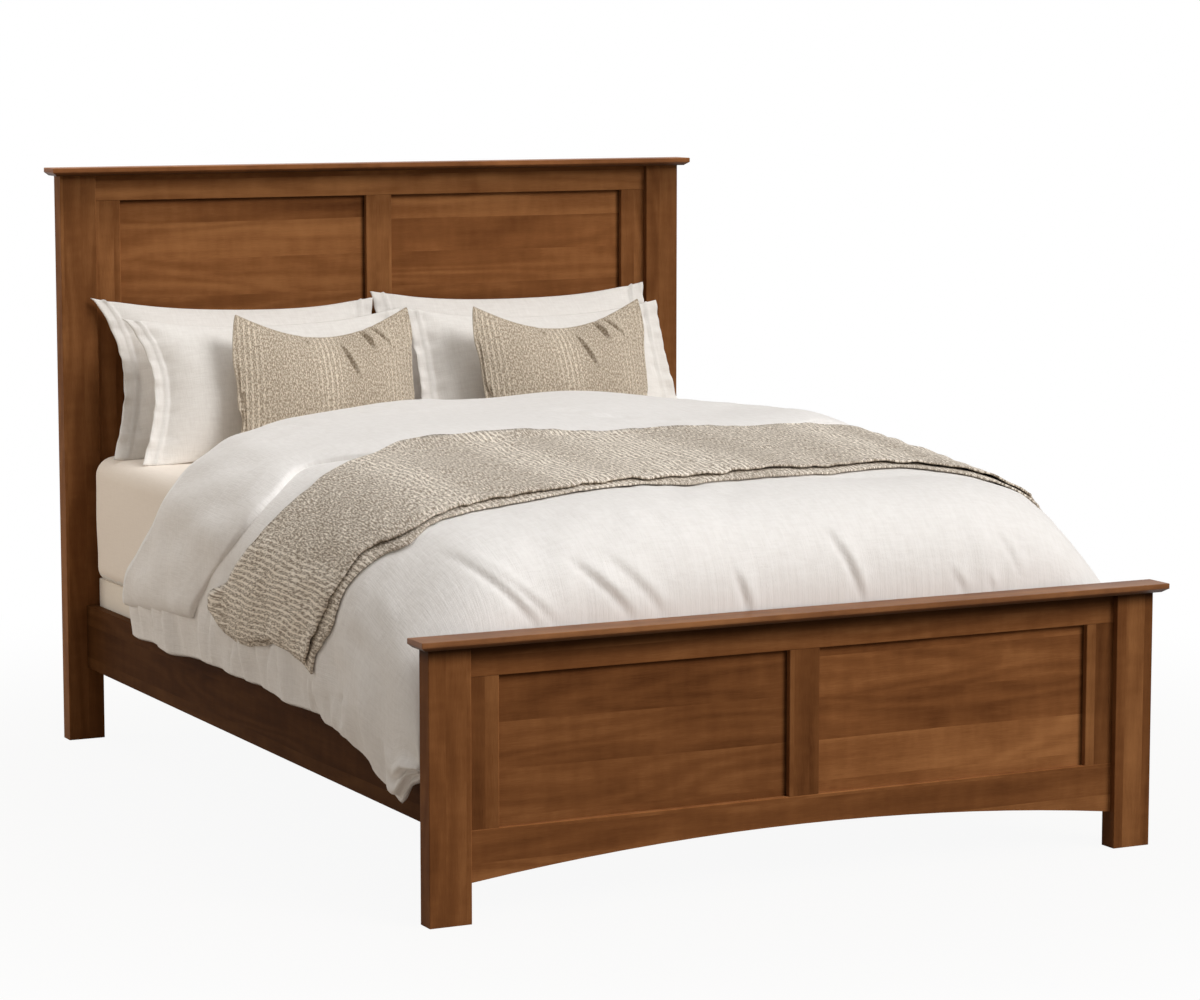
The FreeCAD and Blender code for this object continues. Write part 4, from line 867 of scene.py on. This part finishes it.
def refined(grid, axis):
    """A grid with a point added between every two along one axis, on the cubic through four neighbours."""
    p = np.moveaxis(grid, axis, 0)
    before, after = join(p[:1], p[:-2]), join(p[2:], p[-1:])
    finer = np.empty((2 * len(p) - 1, *p.shape[1:]))
    finer[::2], finer[1::2] = p, (9 * (p[:-1] + p[1:]) - before - after) / 16
    return np.moveaxis(finer, 0, axis)


LEAN = math.radians(19.0)


def cased(name, node, blow, size, depths, foot_y, material, corners, turn_in=1, creases=()):
    """Puts a blown pillow in its CAD node's place: sized, leaned back, and flat where it rests.

    The size is its width and height; the depths are ahead of its seam, behind it, and half the seam's.
    The corners are moves across and up, in metres, of the first side's lower and upper corner and
    then the second side's; the cloth between them follows.
    """
    cloth, loose, flat, sewn = blow
    (width, height), (ahead, behind, seam) = size, depths
    low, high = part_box(node)
    across, deep, up = np.moveaxis(cloth.copy(), -1, 0)
    across = (across - (across.max() + across.min()) / 2) * width / np.ptp(across) * turn_in
    up = (up - up.min()) * height / np.ptp(up)
    i, j = np.meshgrid(*(np.linspace(0, 1, count) for count in loose.shape), indexing="ij")
    for (aside, rise), weight in zip(corners, ((1 - i) * (1 - j), (1 - i) * j, i * (1 - j), i * j)):
        across += aside * turn_in * weight
        up += rise * weight
    deep = np.where(deep < 0, deep * ahead / -deep.min(), deep * behind / deep.max())
    front = deep[0]
    for path, crease, dent in creases:
        front -= stroke(flat[..., 0], flat[..., 1], path, crease, dent) * loose
    column = np.arange(len(front))[:, None]
    edge = np.minimum(column, column[::-1])
    if sewn:
        inside = edge - sewn
        ruffle = ripple(sewn + 60, flat[..., 1], flat[..., 0], 0.03, 0.09, lean=0.6)
        deep += np.where(inside < 0, -0.0035 * inside / sewn * ruffle, 0)
        front *= np.where(inside > 0, 1 - 0.55 * np.exp(-inside / 3.0), 1)
        front += np.where(inside > 0, 0.003 * ruffle * np.exp(-inside / 4.0), 0)
        front -= np.where(inside == 0, 0.0055, 0)
    else:
        nearest = np.where(column < len(front) / 2, front[:1], front[-1:])
        front += 0.55 * np.exp(-edge / 14.0) * (nearest - front)
    gap = np.where(loose, 0.0008, seam)
    deep += np.stack([-gap, gap])
    upright = sheet_top + 0.0008 + up * math.cos(LEAN) - deep * math.sin(LEAN)
    placed = np.stack([across + (low.x + high.x) / 2, foot_y + up * math.sin(LEAN) + deep * math.cos(LEAN),
                       np.maximum(upright, sheet_top + 0.001)], -1)
    points, quads = shell(*placed)
    piece = soft_piece(name, points, quads[:, ::turn_in], material, both_faces(flat, points))
    place_soft(piece, node, node)


# The cases' linen is darker than the duvet's: partly painted shade, for pillows standing in less light.
pillow_linen = woven("pillow_linen", (0.78, 0.745, 0.706), (0.85, 0.82, 0.782), 26.0, 0.0012, sheen=0.1,
                     crinkle=0.4)
PILLOW_ROWS = {
    "back": (0.735, 0.392, 0.072, 0.046, 0.91025, 3),
    "front": (0.712, 0.358, 0.07, 0.048, 0.77025, 5)}
PILLOW_CORNERS = {
    "back_left": ((0.014, 0), (0.011, 0.008), (0, 0), (0.003, -0.016)),
    "back_right": ((-0.01, 0), (-0.017, 0), (0, 0), (0.006, 0)),
    "front_left": ((0, 0), (0, 0), (0, 0), (0, 0)),
    "front_right": ((-0.014, 0), (0.018, -0.003), (0, 0), (0, 0))}
FLANGE_COLUMNS, TAKE_UP = 5, 0.01
for row, (width, height, ahead, behind, foot_y, seed) in PILLOW_ROWS.items():
    for hand, way, outer_side in (("left", 1, 0.052), ("right", -1, 0.008)):
        which = "%s_%s" % (row, hand)
        flat = cut_out(width, height + TAKE_UP, 113, 61, (outer_side, 0.012), 0.022, 4)
        blow = blown(flat, FLANGE_COLUMNS, ahead + behind, seed=seed)
        cased("flanged_pillow_" + which, "pillow_" + which, blow, (width, height), (ahead, behind, 0.0022),
              foot_y, pillow_linen, PILLOW_CORNERS[which], way)

# Cushions: two square scatter cushions in a taupe slub weave with pale ribs, a knife edge all round.
# Down filled and dented from above, they lean on the front pillows.
cushion_slub = slub_weave("cushion_slub", (0.31, 0.245, 0.178), (0.765, 0.67, 0.545), spacing=0.0125,
                          zones=7.0, depth=0.0018, grains=(420.0, 150.0), sway=0.9, rib=0.17, dash=75.0)
CUSHION_WIDE, CUSHION_TALL, CUSHION_CUT = 0.456, 0.368, 0.385
CUSHION_CORNERS = {
    "left": ((-0.04, 0), (0, -0.002), (-0.018, 0), (0, 0.002)),
    "right": ((-0.014, 0), (-0.008, -0.003), (-0.01, 0), (0, 0.002))}
CUSHION_CREASES = (
    (((0.06, 0.195), (0.044, 0.245), (0.026, 0.3)), 0.0038, 0.011),
    (((0.112, 0.27), (0.108, 0.305), (0.09, 0.336)), 0.0048, 0.014),
    (((0.165, 0.275), (0.142, 0.312), (0.118, 0.345)), 0.0042, 0.008),
    (((-0.048, 0.29), (-0.056, 0.312), (-0.07, 0.33)), 0.004, 0.004),
    (((-0.15, 0.066), (-0.185, 0.07), (-0.205, 0.06)), 0.005, 0.004))
for hand, seed in (("left", 11), ("right", 12)):
    flat = cut_out(CUSHION_WIDE, CUSHION_CUT, 97, 81, (-0.012, -0.012), 0.058, 2)
    cloth = refined(refined(blown(flat, 0, 0.106, seed=seed)[0], 1), 2)
    flat = refined(refined(flat, 0), 1)
    loose = np.zeros(flat.shape[:2], bool)
    loose[1:-1, 1:-1] = True
    cased("slub_cushion_" + hand, "cushion_" + hand, (cloth, loose, flat, 0), (CUSHION_WIDE, CUSHION_TALL),
          (0.062, 0.044, 0.002), 0.64625, cushion_slub, CUSHION_CORNERS[hand],
          creases=CUSHION_CREASES)

# Studio: a white floor that keeps a soft shadow, wide lamps above and to the front right, and a near
# one by the head's left. The camera stands at the foot on the left, as in the photograph.


def seen(tree):
    """One where the eye meets a surface, straight, mirrored or through glass, and nought elsewhere."""
    path = add(tree, "LightPath").outputs
    return calc("MAXIMUM", path["Is Camera Ray"],
                calc("MAXIMUM", path["Is Glossy Ray"], path["Is Transmission Ray"]))


def studio_floor(side, back):
    """A flat floor whose white is shaded near the bed and turns to plain white away from it."""
    mesh = bpy.data.meshes.new("studio_floor")
    corners = [(-side, -side, 0), (side, -side, 0), (side, back, 0), (-side, back, 0)]
    mesh.from_pydata(corners, [], [(0, 1, 2, 3)])
    floor = put("studio_floor", mesh)
    material, tree, shader = finish_named("studio_white")
    tree.nodes.remove(shader)
    spot = add(tree, "TexCoord").outputs["Object"]
    reach = add(tree, "VectorMath", {0: spot}, operation="LENGTH").outputs["Value"]
    away = ranged(reach, (1.2, 3.0), (0.93, 1.0), "SMOOTHSTEP")
    cover = add(tree, "BsdfDiffuse", {"Color": (0.42, 0.36, 0.3, 1)}).outputs[0]
    glow = add(tree, "Emission", {"Color": (1, 1, 1, 1), "Strength": 1.0}).outputs[0]
    white = calc("MULTIPLY", seen(tree), away)
    mixed = add(tree, "MixShader", {0: white, 1: cover, 2: glow}).outputs[0]
    feed(tree.nodes["Material Output"], {"Surface": mixed})
    mesh.materials.append(material)


def studio_sky(level):
    """A white world: even, warm light of the given level on the bed, and plain white where it is seen."""
    world = bpy.data.worlds.new("studio_sky")
    world.use_nodes = True
    tree = world.node_tree
    share = seen(tree)
    feed(tree.nodes["Background"], {"Color": blend(share, (1.0, 0.95, 0.88), (1, 1, 1)),
                                    "Strength": ranged(share, target=(level, 1.0))})
    bpy.context.scene.world = world


def lamp(name, kind, towards, energy, **settings):
    """A lamp that shines along one direction, with the settings of its kind."""
    light = bpy.data.lights.new(name, kind)
    light.energy = energy
    for key, value in settings.items():
        setattr(light, key, value)
    thing = put(name, light)
    thing.rotation_euler = Vector(towards).to_track_quat("-Z", "Y").to_euler()
    return thing


studio_floor(side=14, back=30)
studio_sky(0.3)
lamp("front_right_lamp", "SUN", (-0.44, 0.7, -0.56), 0.61 * math.pi, angle=math.radians(28.0))
lamp("top_lamp", "SUN", (-0.05, 0.1, -0.99), 0.25 * math.pi, angle=math.radians(50.0))
near_lamp = lamp("left_lamp", "AREA", (2.0, -0.8, -0.75), 15.0, size=1.6, color=(1.0, 0.92, 0.82))
near_lamp.location = (-2.8, 1.6, 1.3)
near_lamp.visible_camera = False

TILT_DOWN, TURN_RIGHT = 7.1866, 26.7046
camera = put("camera", bpy.data.cameras.new("camera"))
camera.location = (-3.6465, -7.4, 1.699)
camera.rotation_euler = (math.radians(90.0 - TILT_DOWN), 0.0, math.radians(-TURN_RIGHT))
camera.data.sensor_width = 36.0
camera.data.lens = 110.985
bpy.context.scene.camera = camera
bpy.context.scene.view_settings.view_transform = "Standard"
